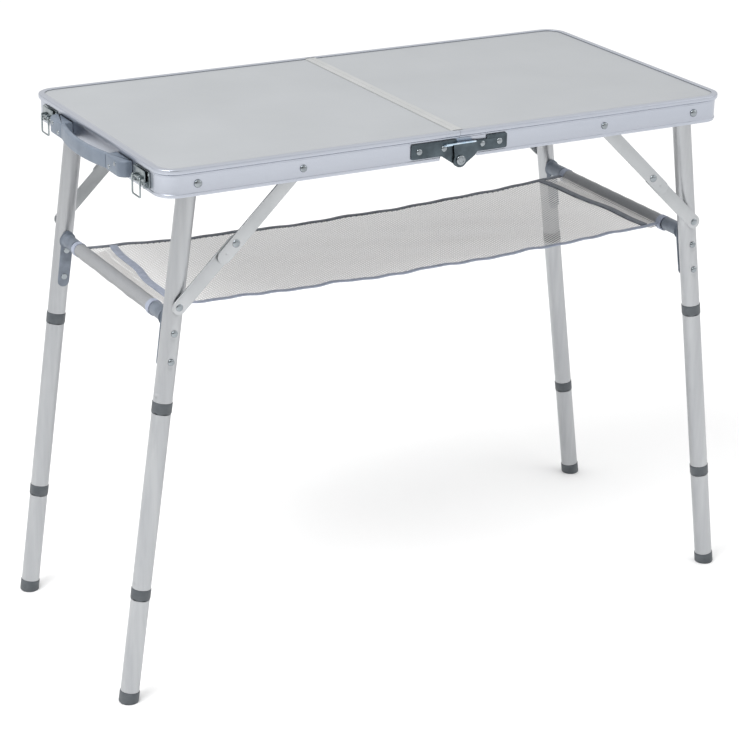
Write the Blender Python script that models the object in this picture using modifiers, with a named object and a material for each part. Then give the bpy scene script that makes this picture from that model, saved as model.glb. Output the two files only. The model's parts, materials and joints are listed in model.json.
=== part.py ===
"""Folding aluminium camping table, 80 x 41 cm and 69.5 cm high.

Two framed boards fold underside to underside on a centre hinge. Each end has a pair of legs that
fold into the tray under their board, held by two-bar braces. A leg is three plugged sections, and
a mesh shelf hangs between two cross rods. Units are metres, +X along the table, +Z up.
"""
import math

import bmesh
import bpy
from mathutils import Matrix, Vector

# top
TOP_LENGTH = 0.800
TOP_WIDTH = 0.410
TOP_HEIGHT = 0.695
CORNER_RADIUS = 0.028
HALF_GAP = 0.0003
LIP_OVERHANG = 0.003
LIP_INNER = 0.008
LIP_THICKNESS = 0.001
LIP_DEPTH = 0.006
SKIRT_DEPTH = 0.035
WALL = 0.0016
LEDGE_REACH = 0.016
LEDGE_THICKNESS = 0.0012
BOARD_THICKNESS = 0.0034
STRIP_WIDTH = 0.0075
RIB_HEIGHT = 0.0008
RIB_WIDTH = 0.0026
RIB_TOP_DEPTH = 0.0078
RIB_LOW_DEPTH = 0.0318
FLANGE_REACH = 0.0042
FIT = 0.0003

# centre hinge
FOLD_DEPTH = 0.036
PLATE_THICKNESS = 0.0016
PLATE_END = 0.068
PLATE_TOP_DEPTH = 0.0098
PLATE_LOW_DEPTH = 0.029
PLATE_NECK = 0.027
TAB_RADIUS = 0.0095
HINGE_RIVETS = (0.022, 0.057)
RIVET_DEPTH = 0.0195
STOP_DEPTH = 0.0129
STOP_REACH = 0.005
NOTCH_HALF = 0.027
NOTCH_DEPTH = 0.0295

# legs
PIVOT_X = TOP_LENGTH / 2 - 0.0484
PIVOT_DEPTH = 0.020
LEG_Y = TOP_WIDTH / 2 - 0.031
SPLAY_DEG = 7.79
TUBE_RADIUS = 0.012
TUBE_WALL = 0.0015
TUBE_ABOVE_PIVOT = 0.006
UPPER_END = 0.279
COLLAR_LENGTH = 0.0145
COLLAR_RADIUS = TUBE_RADIUS + 0.0006
PLUG_UP = 0.028
PLUG_DOWN = 0.035
PLUG_BORE = 0.0075
FOOT_RADIUS = TUBE_RADIUS + 0.0008
PIVOT_PIN_RADIUS = 0.003
SPACER_RADIUS = 0.0065

# braces
BRACE_PIVOT_X = PIVOT_X - 0.1376
BRACE_ON_LEG = 0.1554
BAR_WIDTH = 0.018
BAR_THICKNESS = 0.0025
BAR_TAIL = 0.0300
BAR_OFF_TUBE = 0.0027
BAR_APART = 0.0016
BRACE_RIVET_HEIGHT = 0.0013
STRAP_RIVET_HEIGHT = 0.0017
BRACE_PIN_RADIUS = 0.0025

# shelf
ROD_DEPTH = 0.195
ROD_RADIUS = 0.007
SHELF_HALF_WIDTH = LEG_Y - TUBE_RADIUS - 0.037
SHELF_THICKNESS = 0.0012
SHELF_SAG = 0.011
SLEEVE_CLEARANCE = 0.0004
SOCKET_RADIUS = ROD_RADIUS + 0.002
SOCKET_LENGTH = 0.034
STRAP_WIDTH = 0.017
STRAP_THICKNESS = 0.002
STRAP_FROM = 0.164
STRAP_TO = 0.240
STRAP_RIVETS = (0.1900, 0.2260)
STRAP_RIVET_RADIUS = 0.002

# handle and latches on the left end, keepers on the right end
HANDLE_HALF = TOP_WIDTH / 2 - 0.089
HANDLE_DEPTH = 0.0198
HANDLE_HEIGHT = 0.0204
BLOCK_LENGTH = 0.044
BLOCK_OUT = 0.016
GRIP_THICKNESS = 0.007
GRIP_BOW = 0.009
LATCH_Y = TOP_WIDTH / 2 - 0.059
LATCH_WIDTH = 0.044
LATCH_TOP_DEPTH = 0.0095
LATCH_LOW_DEPTH = 0.0300
LATCH_PIVOT_DEPTH = 0.0262
LATCH_PIVOT_OUT = 0.0045
LOOP_PIVOT_OUT = 0.0086
LOOP_PIVOT_DEPTH = 0.0192
LOOP_WIRE = 0.0011
LOOP_DROP = 0.0235
LOOP_HALF = 0.0115
KEEPER_WIDTH = 0.024

SPLAY = math.radians(SPLAY_DEG)
PIVOT_Z = TOP_HEIGHT - PIVOT_DEPTH
LEG_LENGTH = PIVOT_Z / math.cos(SPLAY)
LOWER_END = LEG_LENGTH - 0.0153
MIDDLE_END = LOWER_END - 0.141
SKIRT_Y = TOP_WIDTH / 2 - LIP_OVERHANG
SKIRT_X = TOP_LENGTH / 2 - LIP_OVERHANG
TUBE_FACE = LEG_Y + TUBE_RADIUS
LOWER_BAR_Y = TUBE_FACE + BAR_OFF_TUBE + BAR_THICKNESS / 2
UPPER_BAR_Y = LOWER_BAR_Y + BAR_THICKNESS + BAR_APART

for old in list(bpy.data.objects):
    bpy.data.objects.remove(old, do_unlink=True)

parts = bpy.data.collections.new("folding_table")
cutters = bpy.data.collections.new("cutters")
bpy.context.scene.collection.children.link(parts)
bpy.context.scene.collection.children.link(cutters)


def material(name, colour, roughness, metallic):
    """A Principled material of one colour."""
    made = bpy.data.materials.new(name)
    made.use_nodes = True
    shader = made.node_tree.nodes["Principled BSDF"]
    shader.inputs["Base Color"].default_value = (*colour, 1.0)
    shader.inputs["Roughness"].default_value = roughness
    shader.inputs["Metallic"].default_value = metallic
    return made


LOOKS = {
    "board": ((0.54, 0.56, 0.58), 0.45, 0.0),
    "profile": ((0.60, 0.63, 0.68), 0.35, 1.0),
    "tube": ((0.56, 0.57, 0.59), 0.35, 1.0),
    "bar": ((0.55, 0.56, 0.57), 0.4, 1.0),
    "hinge": ((0.08, 0.10, 0.11), 0.45, 1.0),
    "rivet": ((0.7, 0.7, 0.7), 0.2, 1.0),
    "collar": ((0.145, 0.16, 0.17), 0.55, 0.0),
    "handle": ((0.27, 0.31, 0.36), 0.5, 0.0),
    "chrome": ((0.75, 0.75, 0.75), 0.12, 1.0),
    "rod": ((0.5, 0.5, 0.5), 0.3, 1.0),
    "bracket": ((0.28, 0.31, 0.36), 0.5, 0.0),
    "mesh": ((0.55, 0.55, 0.56), 0.8, 0.0),
}


def show(obj, look):
    """Puts a finished object in the parts collection, with its own material."""
    obj.data.materials.append(material(obj.name, *LOOKS[look]))
    parts.objects.link(obj)
    return obj


def hide(obj):
    """Puts a Boolean operand in the cutters collection."""
    obj.hide_render = True
    obj.display_type = "WIRE"
    cutters.objects.link(obj)
    return obj


def boolean(obj, other, operation="DIFFERENCE"):
    """An exact Boolean modifier on obj."""
    made = obj.modifiers.new(operation.lower() + "_" + other.name, "BOOLEAN")
    made.object = other
    made.operation = operation
    made.solver = "EXACT"


def turned(name, profile, steps=24, closed=False):
    """A profile of (radius, height) points turned about local Z with a Screw modifier."""
    mesh = bpy.data.meshes.new(name)
    obj = bpy.data.objects.new(name, mesh)
    edges = [(i, i + 1) for i in range(len(profile) - 1)]
    if closed:
        edges.append((len(profile) - 1, 0))
    mesh.from_pydata([(r, 0.0, z) for r, z in profile], edges, [])
    screw = obj.modifiers.new("turn", "SCREW")
    screw.steps = steps
    screw.render_steps = steps
    screw.use_merge_vertices = True
    screw.merge_threshold = 0.00001
    screw.use_smooth_shade = True
    return obj


def box(name, low, high):
    """A box between two corners."""
    mesh = bpy.data.meshes.new(name)
    shape = bmesh.new()
    bmesh.ops.create_cube(shape, size=1.0)
    low, high = Vector(low), Vector(high)
    size = high - low
    bmesh.ops.scale(shape, vec=size, verts=shape.verts)
    bmesh.ops.translate(shape, vec=(low + high) / 2, verts=shape.verts)
    shape.to_mesh(mesh)
    shape.free()
    return bpy.data.objects.new(name, mesh)


def rods(name, places, steps=16):
    """One cutter of separate cylinders, each given as (middle, radius, length), lying along Y."""
    mesh = bpy.data.meshes.new(name)
    shape = bmesh.new()
    lie = Matrix.Rotation(math.radians(90), 4, "X")
    for middle, radius, length in places:
        bmesh.ops.create_cone(
            shape,
            cap_ends=True,
            segments=steps,
            radius1=radius,
            radius2=radius,
            depth=length,
            matrix=Matrix.Translation(middle) @ lie,
        )
    shape.to_mesh(mesh)
    shape.free()
    return bpy.data.objects.new(name, mesh)


def as_mesh(curve_object, name):
    """The mesh of a curve, with its caps welded, on an object of its own."""
    bpy.context.scene.collection.objects.link(curve_object)
    bpy.context.view_layer.update()
    graph = bpy.context.evaluated_depsgraph_get()
    mesh = bpy.data.meshes.new_from_object(curve_object.evaluated_get(graph))
    shape = bmesh.new()
    shape.from_mesh(mesh)
    bmesh.ops.remove_doubles(shape, verts=shape.verts, dist=0.00001)
    bmesh.ops.recalc_face_normals(shape, faces=shape.faces)
    shape.to_mesh(mesh)
    shape.free()
    obj = bpy.data.objects.new(name, mesh)
    obj.matrix_world = curve_object.matrix_world
    bpy.data.objects.remove(curve_object, do_unlink=True)
    return obj


def poly_curve(name, points, closed, dimensions):
    """A curve object with one straight-sided spline."""
    curve = bpy.data.curves.new(name, "CURVE")
    curve.dimensions = dimensions
    spline = curve.splines.new("POLY")
    spline.points.add(len(points) - 1)
    for place, point in zip(spline.points, points):
        place.co = (*point, *([0.0] * (3 - len(point))), 1.0)
    spline.use_cyclic_u = closed
    return bpy.data.objects.new(name + "_curve", curve)


def plate(name, outline, thickness):
    """A flat outline in local X and Y with a thickness along Z, centred on Z = 0."""
    flat = poly_curve(name, outline, True, "2D")
    flat.data.fill_mode = "BOTH"
    flat.data.extrude = thickness / 2
    return as_mesh(flat, name)


def arc(centre, radius, start, end, count):
    """Points on an arc, angles in degrees."""
    out = []
    for i in range(count + 1):
        a = math.radians(start + (end - start) * i / count)
        out.append((centre[0] + radius * math.cos(a), centre[1] + radius * math.sin(a)))
    return out


def upright(obj, x, y, z, facing=-1):
    """Stands a flat plate in the XZ plane: local Y goes up, and local Z points to facing * Y."""
    if facing < 0:
        obj.rotation_euler = (math.radians(90), 0.0, 0.0)
    else:
        obj.rotation_euler = (math.radians(90), 0.0, math.radians(180))
    obj.location = (x, y, z)
    return obj


def dome(name, radius, height, shank, length, steps=12):
    """A dome-headed rivet: the head's flat is at local Z = 0, and the shank goes down."""
    profile = [(0.0, height)]
    for a in (60.0, 30.0):
        b = math.radians(a)
        profile.append((radius * math.cos(b), height * math.sin(b)))
    profile += [(radius, 0.0), (shank, 0.0), (shank, -length), (0.0, -length)]
    return turned(name, profile, steps)


def rivet_out(name, x, y_face, z, side, radius, height, shank, length):
    """A union rivet whose head looks outward along side * Y."""
    made = dome(name, radius, height, shank, length)
    made.rotation_euler = (math.radians(90.0 if side < 0 else -90.0), 0.0, 0.0)
    made.location = (x, side * y_face, z)
    return hide(made)


def empty_at(name, location):
    """An empty on a joint's axis."""
    made = bpy.data.objects.new(name, None)
    made.empty_display_size = 0.02
    made.location = location
    parts.objects.link(made)
    return made


def hang(obj, empty):
    """Parents obj to an unturned empty and keeps its place."""
    obj.parent = empty
    obj.location = Vector(obj.location) - Vector(empty.location)
    return obj


# ---- the two halves of the top ----


def rim_path(side):
    """The half rim's outer line: from the fold, along one long side, round the end and back."""
    r = CORNER_RADIUS
    end, half = TOP_LENGTH / 2, TOP_WIDTH / 2
    first = arc((end - r, r - half), r, -90, 0, 6)
    second = arc((end - r, half - r), r, 0, 90, 6)
    start = HALF_GAP / 2
    line = [(start, -half), *first, *second, (start, half)]
    return [(side * x, y, TOP_HEIGHT) for x, y in line]


def rim_section():
    """The edge profile as (distance inward, height): lip, ribbed skirt, bottom flange and ledge."""
    n0, n1, n2 = LIP_OVERHANG, LIP_OVERHANG + WALL, LIP_OVERHANG + FLANGE_REACH
    ledge = LIP_THICKNESS + BOARD_THICKNESS + 2 * FIT
    low = ledge + LEDGE_THICKNESS
    section = [
        (LIP_INNER, 0.0),
        (0.0006, 0.0),
        (0.0, -0.0006),
        (0.0, -LIP_DEPTH + 0.0006),
        (0.0006, -LIP_DEPTH),
        (n0, -LIP_DEPTH),
    ]
    for depth in (RIB_TOP_DEPTH, RIB_LOW_DEPTH):
        section += [
            (n0, -depth + RIB_WIDTH / 2),
            (n0 - RIB_HEIGHT, -depth + RIB_WIDTH / 5),
            (n0 - RIB_HEIGHT, -depth - RIB_WIDTH / 5),
            (n0, -depth - RIB_WIDTH / 2),
        ]
    section += [
        (n0, -SKIRT_DEPTH),
        (n2, -SKIRT_DEPTH),
        (n2, -SKIRT_DEPTH + LEDGE_THICKNESS),
        (n1, -SKIRT_DEPTH + LEDGE_THICKNESS),
        (n1, -low),
        (LEDGE_REACH, -low),
        (LEDGE_REACH, -ledge),
        (LIP_OVERHANG + WALL + 0.0012, -ledge),
        (LIP_OVERHANG + WALL + 0.0012, -LIP_THICKNESS),
        (LIP_INNER, -LIP_THICKNESS),
    ]
    return section


def swept_rim(name, side):
    """The edge profile carried along the half rim as a bevelled curve, made a mesh."""
    inward = -side
    outline = [(inward * a, b) for a, b in rim_section()]
    section = poly_curve(name + "_section", outline, True, "2D")
    bpy.context.scene.collection.objects.link(section)
    path = poly_curve(name, rim_path(side), False, "3D")
    path.data.twist_mode = "Z_UP"
    path.data.bevel_mode = "OBJECT"
    path.data.bevel_object = section
    path.data.use_fill_caps = True
    rim = as_mesh(path, name)
    bpy.data.objects.remove(section, do_unlink=True)
    return rim


for side, half in ((-1, "left"), (1, "right")):
    rim = swept_rim(half + "_frame", side)
    show(rim, "profile")

    ledge = LIP_THICKNESS + BOARD_THICKNESS + 2 * FIT
    near, far = HALF_GAP / 2, HALF_GAP / 2 + STRIP_WIDTH
    outline = [
        (near, 0.0),
        (far, 0.0),
        (far, -ledge),
        (far + 0.010, -ledge),
        (far + 0.010, -ledge - LEDGE_THICKNESS),
        (near, -ledge - LEDGE_THICKNESS),
    ]
    strip = plate(half + "_strip", [(side * x, z) for x, z in outline], TOP_WIDTH - 0.012)
    boolean(rim, hide(upright(strip, 0.0, 0.0, TOP_HEIGHT)), "UNION")

    holes = []
    for y in (-SKIRT_Y, SKIRT_Y):
        z = TOP_HEIGHT - PIVOT_DEPTH
        holes.append(((side * PIVOT_X, y, z), PIVOT_PIN_RADIUS + FIT, 0.012))
        holes.append(((side * BRACE_PIVOT_X, y, z), BRACE_PIN_RADIUS + FIT, 0.012))
    boolean(rim, hide(rods(half + "_pivot_holes", holes)))
    notch = box(
        half + "_notch",
        (-NOTCH_HALF, -0.3, TOP_HEIGHT - SKIRT_DEPTH - 0.005),
        (NOTCH_HALF, 0.3, TOP_HEIGHT - NOTCH_DEPTH),
    )
    boolean(rim, hide(notch))

    inset = LIP_OVERHANG + WALL + 0.0012 + FIT
    r = CORNER_RADIUS - inset
    end, wide = TOP_LENGTH / 2 - inset, TOP_WIDTH / 2 - inset
    inner = HALF_GAP / 2 + STRIP_WIDTH + FIT
    outline = [
        (inner, -wide),
        *arc((end - r, r - wide), r, -90, 0, 6),
        *arc((end - r, wide - r), r, 0, 90, 6),
        (inner, wide),
    ]
    board = plate(half + "_board", [(side * x, y) for x, y in outline], BOARD_THICKNESS)
    board.location = (0.0, 0.0, TOP_HEIGHT - LIP_THICKNESS - FIT - BOARD_THICKNESS / 2)
    show(board, "board")

# ---- centre hinge ----

FOLD_Z = TOP_HEIGHT - FOLD_DEPTH
for face, end in ((-1, "front"), (1, "rear")):
    inner_face = SKIRT_Y + FIT
    outer_face = TOP_WIDTH / 2 + FIT

    tab = arc((0.0, -FOLD_DEPTH), TAB_RADIUS, -150, 30, 10)
    outline = [
        (-PLATE_END, -PLATE_TOP_DEPTH),
        (-PLATE_END, -PLATE_LOW_DEPTH),
        (-PLATE_NECK, -PLATE_LOW_DEPTH),
        *tab,
        (-0.004, -PLATE_TOP_DEPTH),
    ]
    inner = plate("hinge_plate_left_" + end, [(-face * x, z) for x, z in outline], PLATE_THICKNESS)
    upright(inner, 0.0, face * (inner_face + PLATE_THICKNESS / 2), TOP_HEIGHT, face)
    show(inner, "hinge")

    tab = arc((0.0, -FOLD_DEPTH), TAB_RADIUS, 150, 330, 10)
    reach = 0.039
    outline = [
        (PLATE_END, -PLATE_TOP_DEPTH),
        (reach, -PLATE_TOP_DEPTH),
        (reach, -STOP_DEPTH - 0.0012),
        (-0.012, -STOP_DEPTH - 0.0012),
        *tab,
        (PLATE_NECK, -PLATE_LOW_DEPTH),
        (PLATE_END, -PLATE_LOW_DEPTH),
    ]
    outer = plate("hinge_plate_right_" + end, [(-face * x, z) for x, z in outline], 0.012)
    upright(outer, 0.0, face * (inner_face + 0.003), TOP_HEIGHT, face)
    low, high = inner_face, inner_face + PLATE_THICKNESS
    step = outer_face
    jog = [
        (-0.020, step),
        (0.019, step),
        (0.027, low),
        (0.080, low),
        (0.080, high),
        (0.0278, high),
        (0.0198, step + PLATE_THICKNESS),
        (-0.020, step + PLATE_THICKNESS),
    ]
    jogged = plate("hinge_jog_" + end, [(x, face * y) for x, y in jog], 0.12)
    jogged.location = (0.0, 0.0, TOP_HEIGHT - 0.03)
    boolean(outer, hide(jogged), "INTERSECT")
    stop = box(
        "hinge_stop_" + end,
        (-0.023, min(face * step, face * (step + STOP_REACH)), TOP_HEIGHT - STOP_DEPTH - 0.0016),
        (reach - 0.0192, max(face * step, face * (step + STOP_REACH)), TOP_HEIGHT - STOP_DEPTH),
    )
    boolean(outer, hide(stop), "UNION")
    show(outer, "hinge")

    for plate_object, side in ((inner, -1), (outer, 1)):
        hole = rods(
            plate_object.name + "_pin_hole",
            [((0.0, face * (inner_face + 0.002), FOLD_Z), PIVOT_PIN_RADIUS + FIT, 0.03)],
        )
        boolean(plate_object, hide(hole))
        for number, x in enumerate(HINGE_RIVETS):
            if side > 0 and number == 0:
                x = x + 0.010
            name = plate_object.name + "_rivet_" + str(number)
            y_face = inner_face + PLATE_THICKNESS - 0.0002
            z = TOP_HEIGHT - RIVET_DEPTH
            boolean(
                plate_object,
                rivet_out(name, side * x, y_face, z, face, 0.0038, 0.0017, 0.002, 0.001),
                "UNION",
            )

    head = outer_face + PLATE_THICKNESS + FIT
    shank = head - (inner_face - FIT)
    pin = turned(
        "hinge_pin_" + end,
        [
            (0.0, 0.0024),
            (0.003, 0.0022),
            (0.0052, 0.0013),
            (0.006, 0.0),
            (PIVOT_PIN_RADIUS, 0.0),
            (PIVOT_PIN_RADIUS, -shank),
            (0.0055, -shank),
            (0.0055, -shank - 0.0014),
            (0.004, -shank - 0.0022),
            (0.0, -shank - 0.0022),
        ],
        18,
    )
    pin.rotation_euler = (math.radians(90.0 if face < 0 else -90.0), 0.0, 0.0)
    pin.location = (0.0, face * head, FOLD_Z)
    show(pin, "rivet")

# ---- legs, braces, cross rods ----


def on_leg(side, y, distance):
    """A point on a leg's axis, a distance down from its pivot."""
    return (
        side * (PIVOT_X + distance * math.sin(SPLAY)),
        y,
        PIVOT_Z - distance * math.cos(SPLAY),
    )


def along_leg(obj, side, face, distance=0.0):
    """Places a piece turned about local Z on a leg: local -Z goes down the leg."""
    obj.location = on_leg(side, face * LEG_Y, distance)
    obj.rotation_euler = (0.0, -side * SPLAY, 0.0)
    return obj


def tube_profile(top, bottom):
    """A tube's wall between two distances down the leg."""
    return [
        (TUBE_RADIUS, -top),
        (TUBE_RADIUS, -bottom),
        (TUBE_RADIUS - TUBE_WALL, -bottom),
        (TUBE_RADIUS - TUBE_WALL, -top),
    ]


def collar_profile():
    """A collar with a plug above and below it, bored through, from its flange's top."""
    plug = TUBE_RADIUS - TUBE_WALL - FIT
    low = -COLLAR_LENGTH
    return [
        (plug, PLUG_UP),
        (plug, 0.0),
        (COLLAR_RADIUS, 0.0),
        (COLLAR_RADIUS, low),
        (plug, low),
        (plug, low - PLUG_DOWN),
        (PLUG_BORE, low - PLUG_DOWN),
        (PLUG_BORE, PLUG_UP),
    ]


def foot_profile(length):
    """A foot cap with its plug, from the cap's top."""
    plug = TUBE_RADIUS - TUBE_WALL - FIT
    return [
        (0.0, 0.025),
        (plug, 0.025),
        (plug, 0.0),
        (FOOT_RADIUS - 0.0008, 0.0),
        (FOOT_RADIUS, -0.0008),
        (FOOT_RADIUS, -length - 0.006),
        (0.0, -length - 0.006),
    ]


def bar_outline(length, tail):
    """A flat bar's outline from the origin's pivot to one at +X, with round ends."""
    half = BAR_WIDTH / 2
    return [
        *arc((length + tail - half, 0.0), half, -90, 90, 6),
        *arc((0.0, 0.0), half, 90, 270, 6),
    ]


leg_span = BRACE_PIVOT_X - PIVOT_X
across = PIVOT_X + BRACE_ON_LEG * math.sin(SPLAY) - BRACE_PIVOT_X
down = BRACE_ON_LEG * math.cos(SPLAY)
SPREAD = math.hypot(across, down)
FOLDED = leg_span + BRACE_ON_LEG
UPPER_BAR = (SPREAD + FOLDED) / 2
LOWER_BAR = (SPREAD - FOLDED) / 2
BAR_SLOPE = math.atan2(down, across)

for side, half in ((-1, "left"), (1, "right")):
    axle = empty_at(half + "_leg_axis", (side * PIVOT_X, 0.0, PIVOT_Z))
    brace_axle = empty_at(half + "_brace_axis", (side * BRACE_PIVOT_X, 0.0, PIVOT_Z))
    middle = on_leg(side, 0.0, BRACE_ON_LEG)
    lower_axle = empty_at(half + "_lower_brace_axis", middle)

    for face, end in ((-1, "front"), (1, "rear")):
        where = half + "_" + end

        upper = turned("upper_leg_" + where, tube_profile(-TUBE_ABOVE_PIVOT, UPPER_END), 24, True)
        along_leg(upper, side, face)
        bush = SKIRT_Y - WALL - FIT - TUBE_FACE
        reach = SKIRT_Y + FIT - TUBE_FACE
        pin = turned(
            "leg_pin_" + where,
            [
                (0.0, reach + 0.0024),
                (0.0028, reach + 0.0021),
                (0.0044, reach + 0.0012),
                (0.005, reach),
                (PIVOT_PIN_RADIUS, reach),
                (PIVOT_PIN_RADIUS, bush),
                (SPACER_RADIUS, bush),
                (SPACER_RADIUS, -0.0028),
                (0.0, -0.0028),
            ],
            14,
        )
        pin.rotation_euler = (math.radians(90.0 if face < 0 else -90.0), 0.0, 0.0)
        pin.location = (side * PIVOT_X, face * TUBE_FACE, PIVOT_Z)
        boolean(upper, hide(pin), "UNION")
        bores = []
        for distance in STRAP_RIVETS:
            place = on_leg(side, face * LEG_Y, distance)
            bores.append((place, STRAP_RIVET_RADIUS + FIT, 0.04))
        place = on_leg(side, face * TUBE_FACE, BRACE_ON_LEG)
        bores.append((place, BRACE_PIN_RADIUS + FIT, 0.010))
        boolean(upper, hide(rods("leg_holes_" + where, bores)))
        show(hang(upper, axle), "tube")

        start = UPPER_END + FIT
        collar = turned("upper_collar_" + where, collar_profile(), 24, True)
        show(hang(along_leg(collar, side, face, start), axle), "collar")
        start += COLLAR_LENGTH + FIT
        tube = turned("middle_leg_" + where, tube_profile(0.0, MIDDLE_END - start), 24, True)
        show(along_leg(tube, side, face, start), "tube")
        start = MIDDLE_END + FIT
        collar = turned("lower_collar_" + where, collar_profile(), 24, True)
        show(along_leg(collar, side, face, start), "collar")
        start += COLLAR_LENGTH + FIT
        tube = turned("lower_leg_" + where, tube_profile(0.0, LOWER_END - start), 24, True)
        show(along_leg(tube, side, face, start), "tube")
        start = LOWER_END + FIT
        length = LEG_LENGTH - start
        foot = turned("foot_" + where, foot_profile(length), 24)
        along_leg(foot, side, face, start)
        ground = on_leg(side, face * LEG_Y, LEG_LENGTH)
        x, y = ground[0], ground[1]
        floor = box("floor_" + where, (x - 0.03, y - 0.03, -0.03), (x + 0.03, y + 0.03, 0.0))
        boolean(foot, hide(floor))
        show(foot, "collar")

        # braces: two flat bars that meet at a rivet, straight when the legs are out
        turn = math.degrees(BAR_SLOPE)
        bar = plate("upper_brace_" + where, bar_outline(UPPER_BAR, BAR_TAIL), BAR_THICKNESS)
        lean = math.radians(turn) if side > 0 else math.radians(180.0 - turn)
        bar.rotation_euler = (math.radians(90), lean, 0.0)
        bar.location = (side * BRACE_PIVOT_X, face * UPPER_BAR_Y, PIVOT_Z)
        bush = SKIRT_Y - WALL - FIT
        profile = [
            (0.0, SKIRT_Y + FIT + 0.0022),
            (0.0026, SKIRT_Y + FIT + 0.0019),
            (0.0040, SKIRT_Y + FIT + 0.0011),
            (0.0045, SKIRT_Y + FIT),
            (BRACE_PIN_RADIUS, SKIRT_Y + FIT),
            (BRACE_PIN_RADIUS, bush),
            (0.0055, bush),
            (0.0055, UPPER_BAR_Y),
            (0.0, UPPER_BAR_Y),
        ]
        pin = turned("brace_pin_" + where, [(r, z - UPPER_BAR_Y) for r, z in profile], 12)
        pin.rotation_euler = (math.radians(90.0 if face < 0 else -90.0), 0.0, 0.0)
        pin.location = (side * BRACE_PIVOT_X, face * UPPER_BAR_Y, PIVOT_Z)
        boolean(bar, hide(pin), "UNION")
        joint_x = side * (BRACE_PIVOT_X + UPPER_BAR * math.cos(BAR_SLOPE))
        joint_z = PIVOT_Z - UPPER_BAR * math.sin(BAR_SLOPE)
        top_face = UPPER_BAR_Y + BAR_THICKNESS / 2 - 0.0003
        name = "brace_joint_" + where
        boolean(
            bar,
            rivet_out(name, joint_x, top_face, joint_z, face, 0.0048, 0.0018, 0.002, 0.001),
            "UNION",
        )
        show(hang(bar, brace_axle), "bar")

        bar = plate("lower_brace_" + where, bar_outline(LOWER_BAR, BAR_WIDTH / 2), BAR_THICKNESS)
        lean = math.radians(180.0 + turn) if side > 0 else math.radians(-turn)
        bar.rotation_euler = (math.radians(90), lean, 0.0)
        bar.location = (middle[0], face * LOWER_BAR_Y, middle[2])
        head = LOWER_BAR_Y + BAR_THICKNESS / 2 - 0.0003
        name = "brace_rivet_" + where
        boolean(
            bar,
            rivet_out(
                name,
                middle[0],
                head,
                middle[2],
                face,
                0.0045,
                BRACE_RIVET_HEIGHT,
                BRACE_PIN_RADIUS,
                0.0085,
            ),
            "UNION",
        )
        show(hang(bar, lower_axle), "bar")

        # the strap and socket that hold the cross rod, riveted through the leg
        depth = LEG_Y - TUBE_RADIUS - FIT
        long = STRAP_TO - STRAP_FROM
        outline = [
            *arc((0.0, -0.004), STRAP_WIDTH / 2, 0, 180, 6),
            (-STRAP_WIDTH / 2, 0.004 - long),
            (-STRAP_WIDTH / 2 + 0.004, -long),
            (STRAP_WIDTH / 2 - 0.004, -long),
            (STRAP_WIDTH / 2, 0.004 - long),
        ]
        strap = plate("rod_bracket_" + where, outline, STRAP_THICKNESS)
        strap.rotation_euler = (math.radians(90), -side * SPLAY, 0.0)
        strap.location = on_leg(side, face * (depth - STRAP_THICKNESS / 2), STRAP_FROM)
        rod_along = (ROD_DEPTH - PIVOT_DEPTH) / math.cos(SPLAY)
        rod_place = on_leg(side, 0.0, rod_along)
        socket = rods(
            "rod_socket_" + where,
            [
                (
                    (
                        rod_place[0],
                        face * (depth - STRAP_THICKNESS / 2 - SOCKET_LENGTH / 2),
                        rod_place[2],
                    ),
                    SOCKET_RADIUS,
                    SOCKET_LENGTH,
                )
            ],
            20,
        )
        boolean(strap, hide(socket), "UNION")
        for number, distance in enumerate(STRAP_RIVETS):
            place = on_leg(side, 0.0, distance)
            name = "strap_rivet_" + where + "_" + str(number)
            shank = TUBE_FACE + FIT - depth + STRAP_THICKNESS / 2
            boolean(
                strap,
                rivet_out(
                    name,
                    place[0],
                    TUBE_FACE + FIT,
                    place[2],
                    face,
                    0.0042,
                    STRAP_RIVET_HEIGHT,
                    STRAP_RIVET_RADIUS,
                    shank,
                ),
                "UNION",
            )
        blind = depth - STRAP_THICKNESS - 0.0002
        socket_hole = rods(
            "rod_hole_" + where,
            [((rod_place[0], face * (blind - 0.022), rod_place[2]), ROD_RADIUS + FIT, 0.044)],
            20,
        )
        boolean(strap, hide(socket_hole))
        show(hang(strap, axle), "bracket")

    rod = rods(
        "cross_rod_" + half,
        [(rod_place, ROD_RADIUS, 2 * (blind - FIT))],
        20,
    )
    show(rod, "rod")

# ---- mesh shelf: a sagging panel with a sleeve round each rod ----

ROD_X = rod_place[0]
ROD_Z = rod_place[2]
sleeve_in = ROD_RADIUS + SLEEVE_CLEARANCE
sleeve_out = sleeve_in + SHELF_THICKNESS
start_x = ROD_X - sleeve_in - SHELF_THICKNESS / 2
line = []
for i in range(17):
    x = -start_x + 2 * start_x * i / 16
    line.append((x, -SHELF_SAG * (1.0 - (x / start_x) ** 2)))
outline = [(x, z + SHELF_THICKNESS / 2) for x, z in line]
outline += [(x, z - SHELF_THICKNESS / 2) for x, z in reversed(line)]
shelf = plate("mesh_shelf", outline, 2 * SHELF_HALF_WIDTH)
upright(shelf, 0.0, 0.0, ROD_Z)
width = 2 * SHELF_HALF_WIDTH
sleeves = [((side * ROD_X, 0.0, ROD_Z), sleeve_out, width) for side in (-1, 1)]
boolean(shelf, hide(rods("sleeves", sleeves, 20)), "UNION")
bores = [((side * ROD_X, 0.0, ROD_Z), sleeve_in, width + 0.02) for side in (-1, 1)]
boolean(shelf, hide(rods("sleeve_bores", bores, 20)))
show(shelf, "mesh")

# ---- carry handle on the left end ----

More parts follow.
